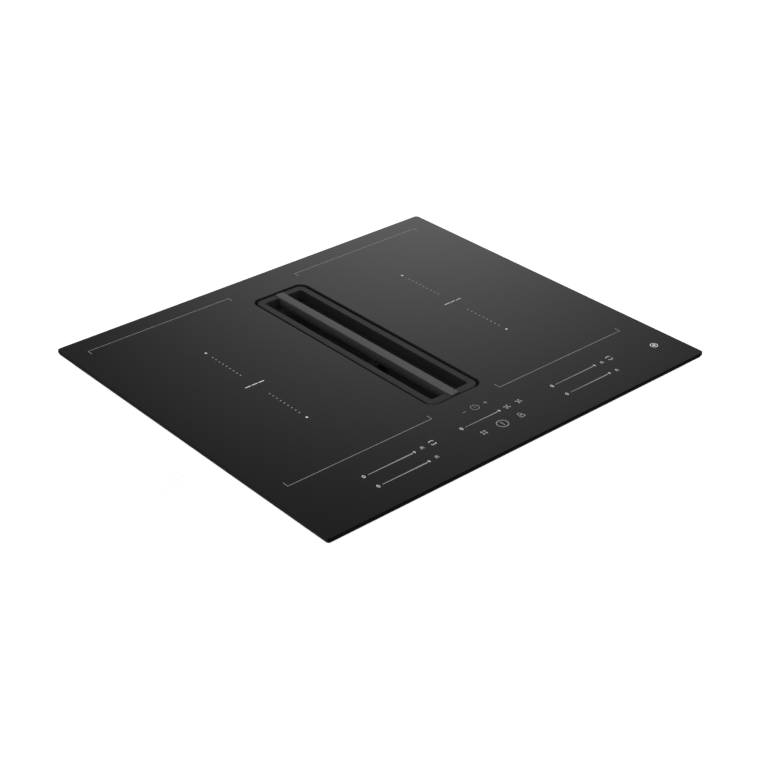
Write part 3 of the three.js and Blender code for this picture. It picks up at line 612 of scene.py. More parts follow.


# The thin edges take lighter and darker copies of one dull finish: painted light on the plate's left
# and right edges, painted shade on its front and back edges and underside.
def makeGlassPlate(values):
    corner, middle, size = values["corner"], values["slotMiddle"], values["slotSize"]
    plate = roundBlock("glassPlate", glassLow, (glassHigh.x, glassHigh.y, glassTop), corner, 12)
    heights = (glassLow.z - past, glassHigh.z + past)
    combine(plate, roundSlot(0, middle, size, heights, values["slotCorner"], 12))
    softenRim(plate, glassTop, values["arris"], 3)
    softenRim(plate, glassLow.z, values["arris"])
    finishPiece(plate, "black_glass", ["glass_top"])
    for look in ("ground_edge", "side_edge", "slot_edge"):
        plate.data.materials.append(looks[look])
    width, length = size
    # in the slot, painted shade on the front and left walls and painted light on the back and right
    # walls, whose upper arris stays black glass
    for face in plate.data.polygons:
        place, way = face.center, face.normal
        sideways = abs(place.x) > glassHigh.x - mm and abs(way.x) > 0.3
        inSlot = abs(place.x) < width and abs(place.y - middle) < length * 0.6
        frontLeft = inSlot and way.x + way.y > 0.05
        if way.z > 0.99 or inSlot and not frontLeft and way.z > 0.1:
            face.material_index = 0
        elif frontLeft:
            face.material_index = 1
        elif inSlot and way.z > -0.5:
            face.material_index = 3
        else:
            face.material_index = 2 if sideways else 1


# The strip the plate rests on, with a soft lip that shows under the plate's edge.
def makeRimGasket(values):
    low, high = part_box("rim_gasket")
    width = values["gasketWidth"]
    strip = roundBlock("rimGasket", low, high, values["gasketCorner"])
    softenRim(strip, low.z, values["gasketLip"], 3)
    inside = drawnIn(low, high, width, width, -past, past)
    combine(strip, roundBlock("inside", *inside, values["gasketInnerCorner"], 3))
    finishPiece(strip, "seal_rubber", ["rim_gasket"])


makeGlassPlate(glassValues)
makeRimGasket(glassValues)
print("glass plate made")

# print on the glass, all in mm

printValues = {
    "line": 0.66,
    "tick": 8.5,
    # zone marks: line y, tick direction, x from and to
    "zones": (
        (230.3, -1, -268.5, -57.8), (230.3, -1, 51.0, 262.8),
        (-157.4, 1, -265.7, -58.6), (-157.4, 1, 48.7, 257.4),
    ),
    "dotColumns": ((-163.3, 1.7), (154.5, 1.15)),  # x, and how wide its dashes are
    "bigDots": (133, -62),
    "bigDot": 1.55,
    "smallDots": ((63, 119), (-48.7, 7)),
    "smallDot": 0.98,
    "dotCount": 9,
    "dashRow": 35.5,
    "dashes": ((-13.8, -5.4), (-4.2, 4.2), (5.4, 13.8)),
    # sliders: zero, line from, line to, nine, y, how heavy, boost mark
    "sliders": (
        (-193.2, -187.6, -122.6, -120.0, -196.6, 1.2, (-107.8, -194.6)),
        (-193.2, -187.6, -122.6, -120.0, -220.6, 1.22, (-107.8, -218.6)),
        (97, 102.5, 167, 170.0, -196, 0.92, (182, -196)),
        (97, 102.5, 167, 170.0, -220, 0.98, (182, -220)),
        (-48, -43, 8.5, 11.2, -195.3, 0.9, None),
    ),
    "zero": 5.2,
    "nine": 4.2,
    "thinEnd": 0.7,
    "thickEnd": 1.5,
    "greyKeys": (
        ("fan", 24, -194.5), ("fan", 43, -194.5), ("minus", -21, -171.3), ("plus", 12, -171.3),
        ("clock", -4.5, -171.3), ("pause", -34, -217), ("power", -5.2, -217), ("lock", 23.5, -217),
    ),
    "whiteKeys": (("link", -92, -194.6), ("link", 196.5, -195), ("target", 261.5, -209.5)),
}


def fanBlades(first=35, sweep=0.35, inner=0.6, outer=4.4, widths=(1.0, 2.2)):
    return [
        (inner * math.cos(a), inner * math.sin(a),
         outer * math.cos(a + sweep), outer * math.sin(a + sweep), *widths)
        for a in (math.radians(first + 90 * i) for i in range(4))
    ]


# Strokes about a symbol's own middle. Three numbers are a dot: x, y, radius. Four are a ring:
# x, y, outer, inner. More are a bar: from x, y, to x, y, width, and width at its far end.
symbols = {
    "boost": ((-2.2, -2.6, 0, -0.4, 0.6), (2.2, -2.6, 0, -0.4, 0.6),
              (-2.2, -0.1, 0, 2.1, 0.6), (2.2, -0.1, 0, 2.1, 0.6)),
    "link": ((-3, -3.6, 3, -3.6, 0.9), (-3, -3.6, -3, -1.4, 0.6), (3, -3.6, 3, -1.4, 0.6),
             (-3, 3.6, 3, 3.6, 0.9), (-3, 3.6, -3, 1.4, 0.6), (3, 3.6, 3, 1.4, 0.6)),
    "fan": fanBlades(),
    "minus": ((-2.6, 0, 2.6, 0, 0.6),),
    "plus": ((-2.4, 0, 2.4, 0, 0.9), (0, -2.4, 0, 2.4, 0.9)),
    "clock": ((0, 0, 5.4, 4.8), (0, 0, 0, 2.6, 0.5), (0, 0, 1.9, 0, 0.5)),
    "pause": ((-2.1, -2.1, 1.5), (-2.1, 2.1, 1.5), (2.1, -2.1, 1.5), (2.1, 2.1, 1.5)),
    "power": ((0, 0, 7.5, 6.45), (0, -4.4, 0, 4.4, 1.1)),
    "lock": ((0, 1.6, 2.9, 2.1), (-3.2, 0, 3.2, 0, 0.9), (-3.2, -4.6, 3.2, -4.6, 0.9),
             (-3.2, 0, -3.2, -4.6, 0.9), (3.2, 0, 3.2, -4.6, 0.9)),
    "target": ((0, 0, 5.0, 3.9), (0, 0, 2.1)),
}


# A bar with nearly round ends, drawn wider or thinner towards its far end if asked.
def printBar(x0, y0, x1, y1, width, endWidth=None):
    length = math.hypot(x1 - x0, y1 - y0)
    bar = addBlock("mark", (0, -width / 2 * mm, 0), (length * mm, width / 2 * mm, printHeight))
    if endWidth:
        pick(bar, "VERT", lambda vert: vert.co.x > length * mm / 2)
        bpy.ops.transform.resize(
            value=(1, endWidth / width, 1), center_override=(length * mm, 0, 0),
        )
        done()
    bevel(bar, runsAlong(2), min(width, length) * 0.45 * mm, 3)
    return turnedTo(bar, (x0 * mm, y0 * mm, glassTop), (0, 0, math.atan2(y1 - y0, x1 - x0)))


def printDot(x, y, radius):
    return addRod("mark", radius * mm, glassTop, glassHigh.z, x * mm, y * mm, 20)


def printRing(x, y, outer, inner):
    ring = addRod("mark", outer * mm, glassTop, glassHigh.z, x * mm, y * mm, 40)
    return combine(
        ring, addRod("hole", inner * mm, glassTop - past, glassHigh.z + past, x * mm, y * mm, 40),
    )


def printSymbol(name, x, y):
    marks = []
    for across, up, *rest in symbols[name]:
        if len(rest) == 1:
            marks.append(printDot(x + across, y + up, *rest))
        elif len(rest) == 2:
            marks.append(printRing(x + across, y + up, *rest))
        else:
            marks.append(printBar(x + across, y + up, x + rest[0], y + rest[1], *rest[2:]))
    return marks


def printDigit(text, size, x, y):
    startFresh()
    bpy.ops.object.text_add()
    sign = bpy.context.object
    sign.data.body = text
    sign.data.size = size * mm / 0.7  # a digit is 0.7 of its font's size tall
    sign.data.align_x = "CENTER"
    sign.data.align_y = "CENTER"
    sign.data.extrude = printHeight / 2
    sign.data.offset = 0.05 * mm  # a little bolder than the font
    bpy.ops.object.convert(target="MESH")
    sign = turnedTo(bpy.context.object, (x * mm, y * mm, glassTop + printHeight / 2))
    weld(sign)
    return sign


def finishPrint(name, marks, ink):
    finishPiece(joinAll(marks, name), "black_glass", look=ink)


def makeZonePrint(values):
    lines, dots = [], []
    for y, towards, x0, x1 in values["zones"]:
        lines.append(printBar(x0, y, x1, y, values["line"]))
        for x in (x0, x1):
            lines.append(printBar(x, y, x, y + towards * values["tick"], values["line"]))
    row, count = values["dashRow"], values["dotCount"]
    for x, dash in values["dotColumns"]:
        dots += [printDot(x, y, values["bigDot"]) for y in values["bigDots"]]
        for y0, y1 in values["smallDots"]:
            ys = rowOf(count, (y1 - y0) / (count - 1), (y0 + y1) / 2)
            lines += [printDot(x, y, values["smallDot"]) for y in ys]
        dots += [printBar(x + x0, row, x + x1, row, dash) for x0, x1 in values["dashes"]]
    finishPrint("zoneLines", lines, "grey_ink")
    finishPrint("zoneDots", dots, "print_ink")


def makeSliderPrint(values):
    lines, signs = [], []
    for zero, x0, x1, nine, y, heavy, boost in values["sliders"]:
        signs.append(printDigit("0", values["zero"], zero, y))
        ends = values["thinEnd"] * heavy, values["thickEnd"] * heavy
        lines.append(printBar(x0, y, x1, y, *ends))
        signs.append(printDigit("9", values["nine"], nine, y))
        if boost:
            signs += printSymbol("boost", *boost)
    finishPrint("sliderLines", lines, "grey_ink")
    finishPrint("sliderSigns", signs, "print_ink")


def makeKeyPrint(values):
    for name, keys, ink in (
        ("keyLines", values["greyKeys"], "grey_ink"),
        ("keySigns", values["whiteKeys"], "print_ink"),
    ):
        marks = []
        for key in keys:
            marks += printSymbol(*key)
        finishPrint(name, marks, ink)


makeZonePrint(printValues)
makeSliderPrint(printValues)
makeKeyPrint(printValues)
print("print made")

# vent frame and wing

frameLow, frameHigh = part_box("vent_frame")
wingLow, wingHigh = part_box("vent_wing")
ventMiddle = middleOf(frameLow, frameHigh).y

ventValues = {
    "lipDepth": 2.8 * mm,
    "corner": 10.2 * mm,
    "skirtInset": 3.3 * mm,
    "side": 9.5 * mm,
    "end": 10.5 * mm,
    "openingCorner": 3 * mm,
    "outerEdge": 1.3 * mm,
    "innerEdge": 0.5 * mm,
    "notchDepth": 1.7 * mm,
    "notchGap": 0.3 * mm,
    # margin for picking the opening's inside walls, which get painted light
    "paintedLightReach": 0.1 * mm,
}

wingValues = {
    "tab": 2.6 * mm,
    "overlap": 0.1 * mm,
    "flankInset": 0.02 * mm,
    "lowerEdge": 1.6 * mm,
    "steps": 9,
    "belly": 0.62,  # how far down the flanks draw in
    "shoulder": 0.97,  # how much of the width they keep there
    "endGap": 0.3 * mm,
    "topRound": 1.1 * mm,
}


def makeVentFrame(values):
    top, side, end, inset = frameHigh.z, values["side"], values["end"], values["skirtInset"]
    lipLow = (frameLow.x, frameLow.y, top - values["lipDepth"])
    lip = roundBlock("ventFrame", lipLow, frameHigh, values["corner"], 10)
    skirt = drawnIn(frameLow, frameHigh, inset, inset, 0, -values["lipDepth"] / 2)
    combine(lip, roundBlock("skirt", *skirt, values["corner"] - inset), "UNION")
    softenRim(lip, top, values["outerEdge"], 3)
    opening = drawnIn(frameLow, frameHigh, side, end, -past, past)
    combine(lip, roundBlock("opening", *opening, values["openingCorner"], 6))
    softenRim(lip, top, values["innerEdge"], 3)
    gap = values["notchGap"]
    combine(lip, addBlock(
        "notch", (wingLow.x - gap, frameLow.y - past, top - values["notchDepth"]),
        (wingHigh.x + gap, frameHigh.y + past, top + past),
    ))
    finishPiece(lip, "vent_enamel", ["vent_frame"], "vent")
    # the opening's upright inside walls take the lighter enamel copy: painted light
    lip.data.materials.append(looks["vent_lining"])
    reachX = frameHigh.x - side + values["paintedLightReach"]
    reachY = frameHigh.y - ventMiddle - end + values["paintedLightReach"]
    for face in lip.data.polygons:
        inside = abs(face.center.x) < reachX and abs(face.center.y - ventMiddle) < reachY
        face.material_index = int(inside and abs(face.normal.z) < 0.1)


# The wing is drawn down from under its flat top bar in steps that follow its flanks.
def makeVentWing(values):
    half = wingHigh.x
    start = wingHigh.z - values["tab"]
    finTop = start - values["overlap"]
    reach = (frameHigh.y - frameLow.y) / 2 - ventValues["end"] - values["endGap"]
    width, last = half - values["flankInset"], finTop
    ends = ventMiddle - reach, ventMiddle + reach
    fin = addBlock("fin", (-width, ends[0], last), (width, ends[1], start + mm))
    pick(fin, "FACE", lambda face: face.normal.z < -0.9)
    for i in range(1, values["steps"] + 1):
        t = i / values["steps"]
        bow = 2 * t * (1 - t)
        newWidth = half * ((1 - t) ** 2 + bow * values["shoulder"])
        newWidth += t * t * values["lowerEdge"] / 2
        lower = finTop - (bow * values["belly"] + t * t) * (finTop - wingLow.z)
        bpy.ops.mesh.extrude_region_move(TRANSFORM_OT_translate={"value": (0, 0, lower - last)})
        bpy.ops.transform.resize(
            value=(newWidth / width, 1, 1), center_override=(0, ventMiddle, lower),
        )
        width, last = newWidth, lower
    done()
    wing = addBlock("ventWing", (-half, wingLow.y, start), (half, wingHigh.y, wingHigh.z))
    combine(wing, fin, "UNION")
    softenRim(wing, wingHigh.z, values["topRound"], 4)
    finishPiece(wing, "wing_metal", ["vent_wing"], "vent", angle=50)


makeVentFrame(ventValues)
makeVentWing(wingValues)
print("vent made")

# screws


# shares of a head's height (dome, foot) and of its radius (the recess's half length and width)
screwValues = {"dome": 0.45, "foot": 0.45, "reach": 0.6, "half": 0.13}


# Pan-head screws with a crossed recess; each place is where a screw's seat is, and its turn.
def makeScrews(name, head, places, values=screwValues):
    radius, height = head
    screw = addRod(name, radius, 0, height, sides=28)
    softenRim(screw, height, height * values["dome"], 3)
    x, y, foot = radius * values["reach"], radius * values["half"], height * values["foot"]
    for turn in (0, math.pi / 2):
        arm = addBlock("recess", (-x, -y, foot), (x, y, height + past))
        combine(screw, turnedTo(arm, (0, 0, 0), (0, 0, turn)))
    finishPiece(spread(screw, places), "bright_steel")


# turns of a screw whose head, up at first, then points along an axis
towardsRight, towardsLeft = (0, math.pi / 2, 0), (0, -math.pi / 2, 0)
towardsBack, towardsFront = (-math.pi / 2, 0, 0), (math.pi / 2, 0, 0)
downwards = (math.pi, 0, 0)

# base pan

panLow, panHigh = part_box("base_pan")

panValues = {
    "corner": 20 * mm,
    "sheet": 1.2 * mm,
    "bend": 3 * mm,
    "slot": (22 * mm, 4 * mm),
    "slotPitch": 30 * mm,
    "slotCount": 14,
    "shaftHole": (78 * mm, 337 * mm),
    "shaftCorner": 9.5 * mm,
    "intake": (64 * mm, 4 * mm),
    "intakePitch": 12 * mm,
    "intakeCount": 5,
    "rivetHole": 2.85 * mm,
    "beadWidth": 5 * mm,
    "beadProud": 0.8 * mm,
    "beadInset": 38 * mm,
    "beadRise": 12 * mm,  # above and below the middle of a side
    "screwHead": (3.4 * mm, 2 * mm),
    "screwDrop": 9 * mm,
    "screwShares": (-0.72, 0, 0.72),
}


def makeBasePan(values):
    corner, sheet, bend = values["corner"], values["sheet"], values["bend"]
    shell = roundBlock("basePan", panLow, panHigh, corner)
    softenRim(shell, panLow.z, bend, 4)
    inside = drawnIn(panLow, panHigh, sheet, sheet, sheet, past)
    inside = roundBlock("inside", *inside, corner - sheet)
    softenRim(inside, panLow.z + sheet, bend - sheet, 4)
    combine(shell, inside)
    floorCut = (panLow.z - past, panLow.z + sheet + past)
    size, radius = values["shaftHole"], values["shaftCorner"]
    combine(shell, roundSlot(0, ventMiddle, size, floorCut, radius, 6))
    middle = middleOf(panLow, panHigh).z
    width, height = values["slot"]
    slots = [
        roundBlock("slot", (x - width / 2, panLow.y - past, middle),
                   (x + width / 2, panHigh.y + past, middle + height), height * roundEnd, 4, axis=1)
        for x in rowOf(values["slotCount"], values["slotPitch"])
    ]
    combine(shell, joinAll(slots, "slots"))
    size, cuts = values["intake"], []
    for fan in ("fan_frame_left", "fan_frame_right"):
        x, fanY, _ = middleOf(*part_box(fan))
        for y in rowOf(values["intakeCount"], values["intakePitch"], fanY):
            cuts.append(roundSlot(x, y, size, floorCut, size[1] * roundEnd, 4))
    for name in nodes:
        if name.startswith("clamp_rivet"):
            x, y, _ = middleOf(*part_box(name))
            cuts.append(addRod("hole", values["rivetHole"], *floorCut, x, y, 20))
    combine(shell, joinAll(cuts, "cuts"))
    # pressed beads along the plain sides
    proud, half, inset = values["beadProud"], values["beadWidth"] / 2, values["beadInset"]
    for side in (panLow.x, panHigh.x):
        for z in (middle - values["beadRise"], middle + values["beadRise"]):
            bead = addBlock("bead", (side - proud, panLow.y + inset, z - half),
                            (side + proud, panHigh.y - inset, z + half))
            outer = side + math.copysign(proud, side)
            bevel(bead, lambda edge: all(abs(vert.co.x - outer) < near for vert in edge.verts),
                  proud * 0.9, 3)
            combine(shell, bead, "UNION")
    finishPiece(shell, "zinc_sheet", ["base_pan"])


def makePanScrews(values):
    z = panHigh.z - values["screwDrop"]
    places = []
    for share in values["screwShares"]:
        x, y = share * panHigh.x, share * panHigh.y
        places += [
            ((panHigh.x, y, z), towardsRight), ((panLow.x, y, z), towardsLeft),
            ((x, panHigh.y, z), towardsBack), ((x, panLow.y, z), towardsFront),
        ]
    makeScrews("panScrews", values["screwHead"], places)


makeBasePan(panValues)
makePanScrews(panValues)
print("pan made")

# lower housing

housingLow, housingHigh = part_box("lower_housing")
flangeLow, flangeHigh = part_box("outlet_flange")
trayLow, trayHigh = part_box("drip_tray")

housingValues = {
    "lip": 8 * mm,
    "lipThickness": 2.5 * mm,
    "lipEdge": 0.6 * mm,
    "wall": 2.5 * mm,
    "corner": 4 * mm,
    "foot": 2 * mm,
    "outlet": (224 * mm, 91 * mm),
    "ribThickness": 2 * mm,
    "ribProud": 6 * mm,
    "ribHeight": 26 * mm,
    "ribs": 5,  # along each side
    "seamDrop": 34 * mm,
    "seamProud": 1.5 * mm,
    "seamHalf": 2 * mm,
    "seamEdge": 1 * mm,
    "screwHead": (3.2 * mm, 1.9 * mm),
    "trayGap": 1 * mm,
    "trayRib": 4 * mm,
    "trayRibLift": 3 * mm,
    "trayCorners": (8 * mm, 6 * mm),  # outside and inside the rib
}


# Gussets under the lip, each with its lower outer edge drawn in to the wall.
def makeGussets(low, high, top, values):
    half, proud = values["ribThickness"] / 2, values["ribProud"]
    foot = top - values["ribHeight"]
    gusset = addBlock("gussets", (-values["wall"] / 2, -half, foot), (proud, half, top))
    bevel(gusset, lambda edge: all(
        vert.co.x > near and vert.co.z < foot + near for vert in edge.verts
    ), proud * 0.9, 1)
    places = []
    for i in range(values["ribs"]):
        share = (i + 0.5) / values["ribs"]
        x, y = low.x + share * (high.x - low.x), low.y + share * (high.y - low.y)
        for place, quarters in (
            ((high.x, y, 0), 0), ((x, high.y, 0), 1), ((low.x, y, 0), 2), ((x, low.y, 0), 3),
        ):
            places.append((place, (0, 0, quarters * math.pi / 2)))
    return spread(gusset, places)


def makeLowerHousing(values):
    lip, wall, corner = values["lip"], values["wall"], values["corner"]
    low, high = drawnIn(housingLow, housingHigh, lip, lip)
    lipLow = housingHigh.z - values["lipThickness"]
    shell = roundBlock("lowerHousing", low, high, corner, 6)
    softenRim(shell, low.z, values["foot"], 3)
    flange = roundBlock("lip", (housingLow.x, housingLow.y, lipLow), housingHigh, corner + lip, 6)
    softenRim(flange, lipLow, values["lipEdge"])
    combine(shell, flange, "UNION")
    proud, half, seamZ = values["seamProud"], values["seamHalf"], high.z - values["seamDrop"]
    seam = roundBlock("seam", (low.x - proud, low.y - proud, seamZ - half),
                      (high.x + proud, high.y + proud, seamZ + half), corner + proud, 6)
    for z in (seamZ - half, seamZ + half):
        softenRim(seam, z, values["seamEdge"])
    combine(shell, seam, "UNION")
    gussetTop = housingHigh.z - values["lipThickness"] / 2
    combine(shell, makeGussets(low, high, gussetTop, values), "UNION")
    inside = drawnIn(low, high, wall, wall, wall, past)
    combine(shell, roundBlock("inside", *inside, corner - wall, 3))
    outlet, (width, height) = middleOf(flangeLow, flangeHigh), values["outlet"]
    combine(shell, addBlock(
        "outlet", (outlet.x - width / 2, high.y - 2 * wall, outlet.z - height / 2),
        (outlet.x + width / 2, high.y + 2 * wall, outlet.z + height / 2),
    ))
    # a low rib on the floor keeps the tray in its place
    gap, tall = values["trayGap"], wall + values["trayRib"]
    outer, inner = values["trayCorners"]
    out = gap + wall
    stop = roundBlock("trayStop", (trayLow.x - out, trayLow.y - out, trayLow.z - wall),
                      (trayHigh.x + out, trayHigh.y + out, tall), outer, 5)
    combine(stop, roundBlock("hollow", (trayLow.x - gap, trayLow.y - gap, wall),
                             (trayHigh.x + gap, trayHigh.y + gap, tall + past), inner, 5))
    pick(stop, "FACE", lambda face: face.calc_center_median().z < wall / 2)
    bpy.ops.transform.translate(value=(0, 0, values["trayRibLift"]))
    done()
    combine(shell, stop, "UNION")
    finishPiece(shell, "black_plastic", ["lower_housing"])


def makeHousingScrews(values):
    inset = values["lip"] / 2
    z = housingHigh.z - values["lipThickness"]
    low, high = drawnIn(housingLow, housingHigh, inset, inset)
    makeScrews("housingScrews", values["screwHead"], [
        ((x, y, z), downwards)
        for x in (low.x, (low.x + high.x) / 2, high.x) for y in (low.y, high.y)
    ])


makeLowerHousing(housingValues)
makeHousingScrews(housingValues)
print("housing made")

# outlet for the flat duct

outletValues = {
    "seatGap": 0.3 * mm,
    "plate": 2 * mm,
    "plateMargin": 8 * mm,
    "wall": 2 * mm,
    "corner": 5 * mm,
    "plateCorner": 6 * mm,
    "bead": 1.2 * mm,
    "beadFromEnd": 5 * mm,
    "screwHead": (3 * mm, 1.8 * mm),
}
outletSeat = housingHigh.y - housingValues["lip"] + outletValues["seatGap"]


def makeOutlet(values):
    margin, wall, proud, corner = (values[key] for key in ("plateMargin", "wall", "bead", "corner"))
    around = drawnIn(flangeLow, flangeHigh, margin, 0, margin, -margin)
    collar = roundBlock("outletCollar", *around, corner, 6, axis=1)
    combine(collar, roundBlock(
        "plate", (flangeLow.x, outletSeat, flangeLow.z),
        (flangeHigh.x, outletSeat + values["plate"], flangeHigh.z),
        values["plateCorner"], 6, axis=1,
    ), "UNION")
    beadY = flangeHigh.y - values["beadFromEnd"]
    low, high = drawnIn(*around, -proud, 0, -proud, proud)
    low.y, high.y = beadY - proud, beadY + proud
    combine(collar, roundBlock("bead", low, high, corner + proud, 6, axis=1), "UNION")
    bore = drawnIn(*around, wall, -past, wall, -wall)
    combine(collar, roundBlock("bore", *bore, corner - wall, 6, axis=1))
    finishPiece(collar, "black_plastic", ["outlet_flange"])


def makeOutletScrews(values):
    inset = values["plateMargin"] / 2
    low, high = drawnIn(flangeLow, flangeHigh, inset, 0, inset, -inset)
    makeScrews("outletScrews", values["screwHead"], [
        ((x, outletSeat + values["plate"], z), towardsBack)
        for x in (low.x, (low.x + high.x) / 2, high.x) for z in (low.z, high.z)
    ])


makeOutlet(outletValues)
makeOutletScrews(outletValues)
print("outlet made")

# gravity flaps: a leaf on two round pins, with ribs on the side that the blower's air pushes

flapValues = {
    "leaf": 1.2 * mm,
    "pin": 1.5 * mm,
    "pinReach": 2.7 * mm,
    "pinGap": 0.2 * mm,
    "corner": 2.5 * mm,
    "rib": (2 * mm, 1.1 * mm),
    "ribs": 5,
    "ribEnds": (5 * mm, 3 * mm),  # from the lower edge, and from the pin
    "rim": (0.6 * mm, 2.4 * mm),
    "weight": (60 * mm, 5 * mm),
    "weightRise": 6 * mm,
}


def makeFlap(side, values):
    node = f"outlet_flap_{side}"
    low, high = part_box(node)
    middle, pinY, pinZ = middleOf(low, high).x, low.y + values["pin"], high.z - values["pin"]
    x0, x1 = low.x + values["pinReach"], high.x - values["pinReach"]
    half, corner = values["leaf"] / 2, values["corner"]
    leaf = roundBlock(f"flap{side.title()}", (x0, pinY - half, low.z),
                      (x1, pinY + half, pinZ - values["pinGap"]), corner, 5, axis=1,
                      suits=lambda place: place.z < low.z + near)
    pin = addRod("pin", values["pin"], low.x - middle, high.x - middle, sides=20)
    combine(leaf, turnedTo(pin, (middle, pinY, pinZ), towardsRight), "UNION")
    width, proud = values["rib"]
    outer = pinY + half + proud
    lower, upper = low.z + values["ribEnds"][0], pinZ - values["ribEnds"][1]
    # raised bars on the leaf: x from and to, how far out, z from and to
    bars = [
        (x - width / 2, x + width / 2, outer, lower, upper)
        for x in rowOf(values["ribs"], (x1 - x0) / values["ribs"], middle)
    ]
    bars.append((x0 + corner, x1 - corner, outer, *(low.z + z for z in values["rim"])))
    long, tall = values["weight"]
    foot = low.z + values["weightRise"]
    bars.append((middle - long / 2, middle + long / 2, high.y, foot, foot + tall))
    for left, right, reach, lower, upper in bars:
        combine(leaf, addBlock("bar", (left, pinY, lower), (right, reach, upper)), "UNION")
    finishPiece(leaf, "black_plastic", [node], f"flap_{side}")


makeFlap("upper", flapValues)
makeFlap("lower", flapValues)
print("flaps made")

# worktop clamps

clampCorners = [(row, side) for row in ("front", "rear") for side in ("left", "right")]

clampValues = {
    "length": 62 * mm,
    "width": 15 * mm,
    "sheet": 2 * mm,
    "tabWidth": 12 * mm,
    "tabDrop": 8 * mm,
    "tabCorner": 2.5 * mm,
    "hole": 2.85 * mm,
    "ribWidth": 5 * mm,
    "ribProud": 0.9 * mm,
    "edge": 0.35 * mm,
    "rivet": 2.5 * mm,
    "rivetHead": (5 * mm, 1.5 * mm, 0.9 * mm),  # radius, height, rounding
}


def makeClampArms(values):
    half, sheet, length = values["width"] / 2, values["sheet"], values["length"]
    arm = roundBlock("clampArm", (-half, -half, -sheet), (length + half, half, 0), half * 0.98, 10)
    across, drop = values["tabWidth"] / 2, values["tabDrop"]
    combine(arm, roundBlock(
        "tab", (length - sheet / 2, -across, -drop), (length + sheet / 2, across, -sheet / 2),
        values["tabCorner"], 4, axis=0, suits=lambda place: place.z < near - drop,
    ), "UNION")
    across, proud = values["ribWidth"] / 2, values["ribProud"]
    rib = roundBlock("rib", (half * 1.4, -across, -sheet - proud),
                     (length - half, across, -sheet / 2), values["ribWidth"] * roundEnd, 4)
    softenRim(rib, -sheet - proud, proud * 0.6)
    combine(arm, rib, "UNION")
    combine(arm, addRod("hole", values["hole"], -2 * sheet, past, sides=24))
    softenRim(arm, 0, values["edge"])
    for row, side in clampCorners:
        node = f"clamp_arm_{row}_{side}"
        x, y, _ = middleOf(*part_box(f"clamp_rivet_{row}_{side}"))
        turn = (0, 0, 0 if side == "left" else math.pi)
        twin = copyTo(arm, (x, y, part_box(node)[1].z), turn, f"clampArm{row.title()}{side.title()}")
        finishPiece(twin, "bright_steel", [node], f"clamp_{row}_{side}")
    bpy.data.objects.remove(arm)


def makeClampRivets(values):
    radius, height, rounding = values["rivetHead"]
    for row, side in clampCorners:
        node = f"clamp_rivet_{row}_{side}"
        low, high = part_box(node)
        x, y, _ = middleOf(low, high)
        # the shank ends inside its two heads
        rivet = addRod(f"clampRivet{row.title()}{side.title()}", values["rivet"], low.z + mm,
                       high.z - mm, x, y, 24)
        for rim, bottom in ((low.z, low.z), (high.z, high.z - height)):
            head = addRod("head", radius, bottom, bottom + height, x, y)
            softenRim(head, rim, rounding, 3)
            combine(rivet, head, "UNION")
        finishPiece(rivet, "bright_steel", [node])


makeClampArms(clampValues)
makeClampRivets(clampValues)
print("clamps made")

# mains connection

boxLow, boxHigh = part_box("terminal_box")
coverLow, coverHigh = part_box("terminal_cover")
glandLow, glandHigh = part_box("cable_gland")
glandMiddle = middleOf(glandLow, glandHigh)

terminalValues = {
    "wall": 2 * mm,
    "corner": 5 * mm,
    "edge": 0.8 * mm,
    "lid": 2 * mm,
    "spigotGap": 0.5 * mm,
    "spigotCorner": 0.4 * mm,
    "grooves": 5,
    "groove": (1.6 * mm, 0.6 * mm),  # width and depth
    "grooveEnd": 6 * mm,
    "grooveClear": 14 * mm,  # from the gland
    "screwHead": (2.6 * mm, 1.6 * mm),
    "screwInset": 9 * mm,
    "screwSink": 0.4 * mm,
    "glandGap": 0.3 * mm,
    "nutRadius": 11 * mm,
    "nutLength": 7 * mm,
    "nutEdge": 0.8 * mm,
    "bore": 6.5 * mm,
    "neck": 8.5 * mm,
    "neckDraw": 0.4 * mm,  # how much thinner it is between its ribs
    "neckEdge": 1.2 * mm,
    "neckRibs": 4,
    "neckRib": (1.3 * mm, 0.3 * mm, 0.4 * mm),  # length, height and rounding
    "neckRibStart": 1.6 * mm,
    "neckRibPitch": 2.6 * mm,
}


def makeTerminalBox(values):
    wall, corner, gap = values["wall"], values["corner"], values["glandGap"]
    shell = roundBlock("terminalBox", boxLow, boxHigh, corner, 6)
    inside = drawnIn(boxLow, boxHigh, wall, wall, -past, -wall)
    combine(shell, roundBlock("inside", *inside, corner - wall, 4))
    hole = addRod("hole", values["neck"] + gap, -4 * wall, 4 * wall)
    combine(shell, turnedTo(hole, (glandMiddle.x, boxHigh.y, glandMiddle.z), towardsFront))
    width, depth = values["groove"]
    count, end, grooves = values["grooves"], values["grooveEnd"], []
    for x in rowOf(count, (boxHigh.x - boxLow.x) / (count + 1), middleOf(boxLow, boxHigh).x):
        if abs(x - glandMiddle.x) > values["grooveClear"]:
            grooves.append(addBlock("groove", (x - width / 2, boxHigh.y - depth, boxLow.z + end),
                                    (x + width / 2, boxHigh.y + past, boxHigh.z - end)))
    combine(shell, joinAll(grooves, "grooves"))
    finishPiece(shell, "grey_plastic", ["terminal_box"])


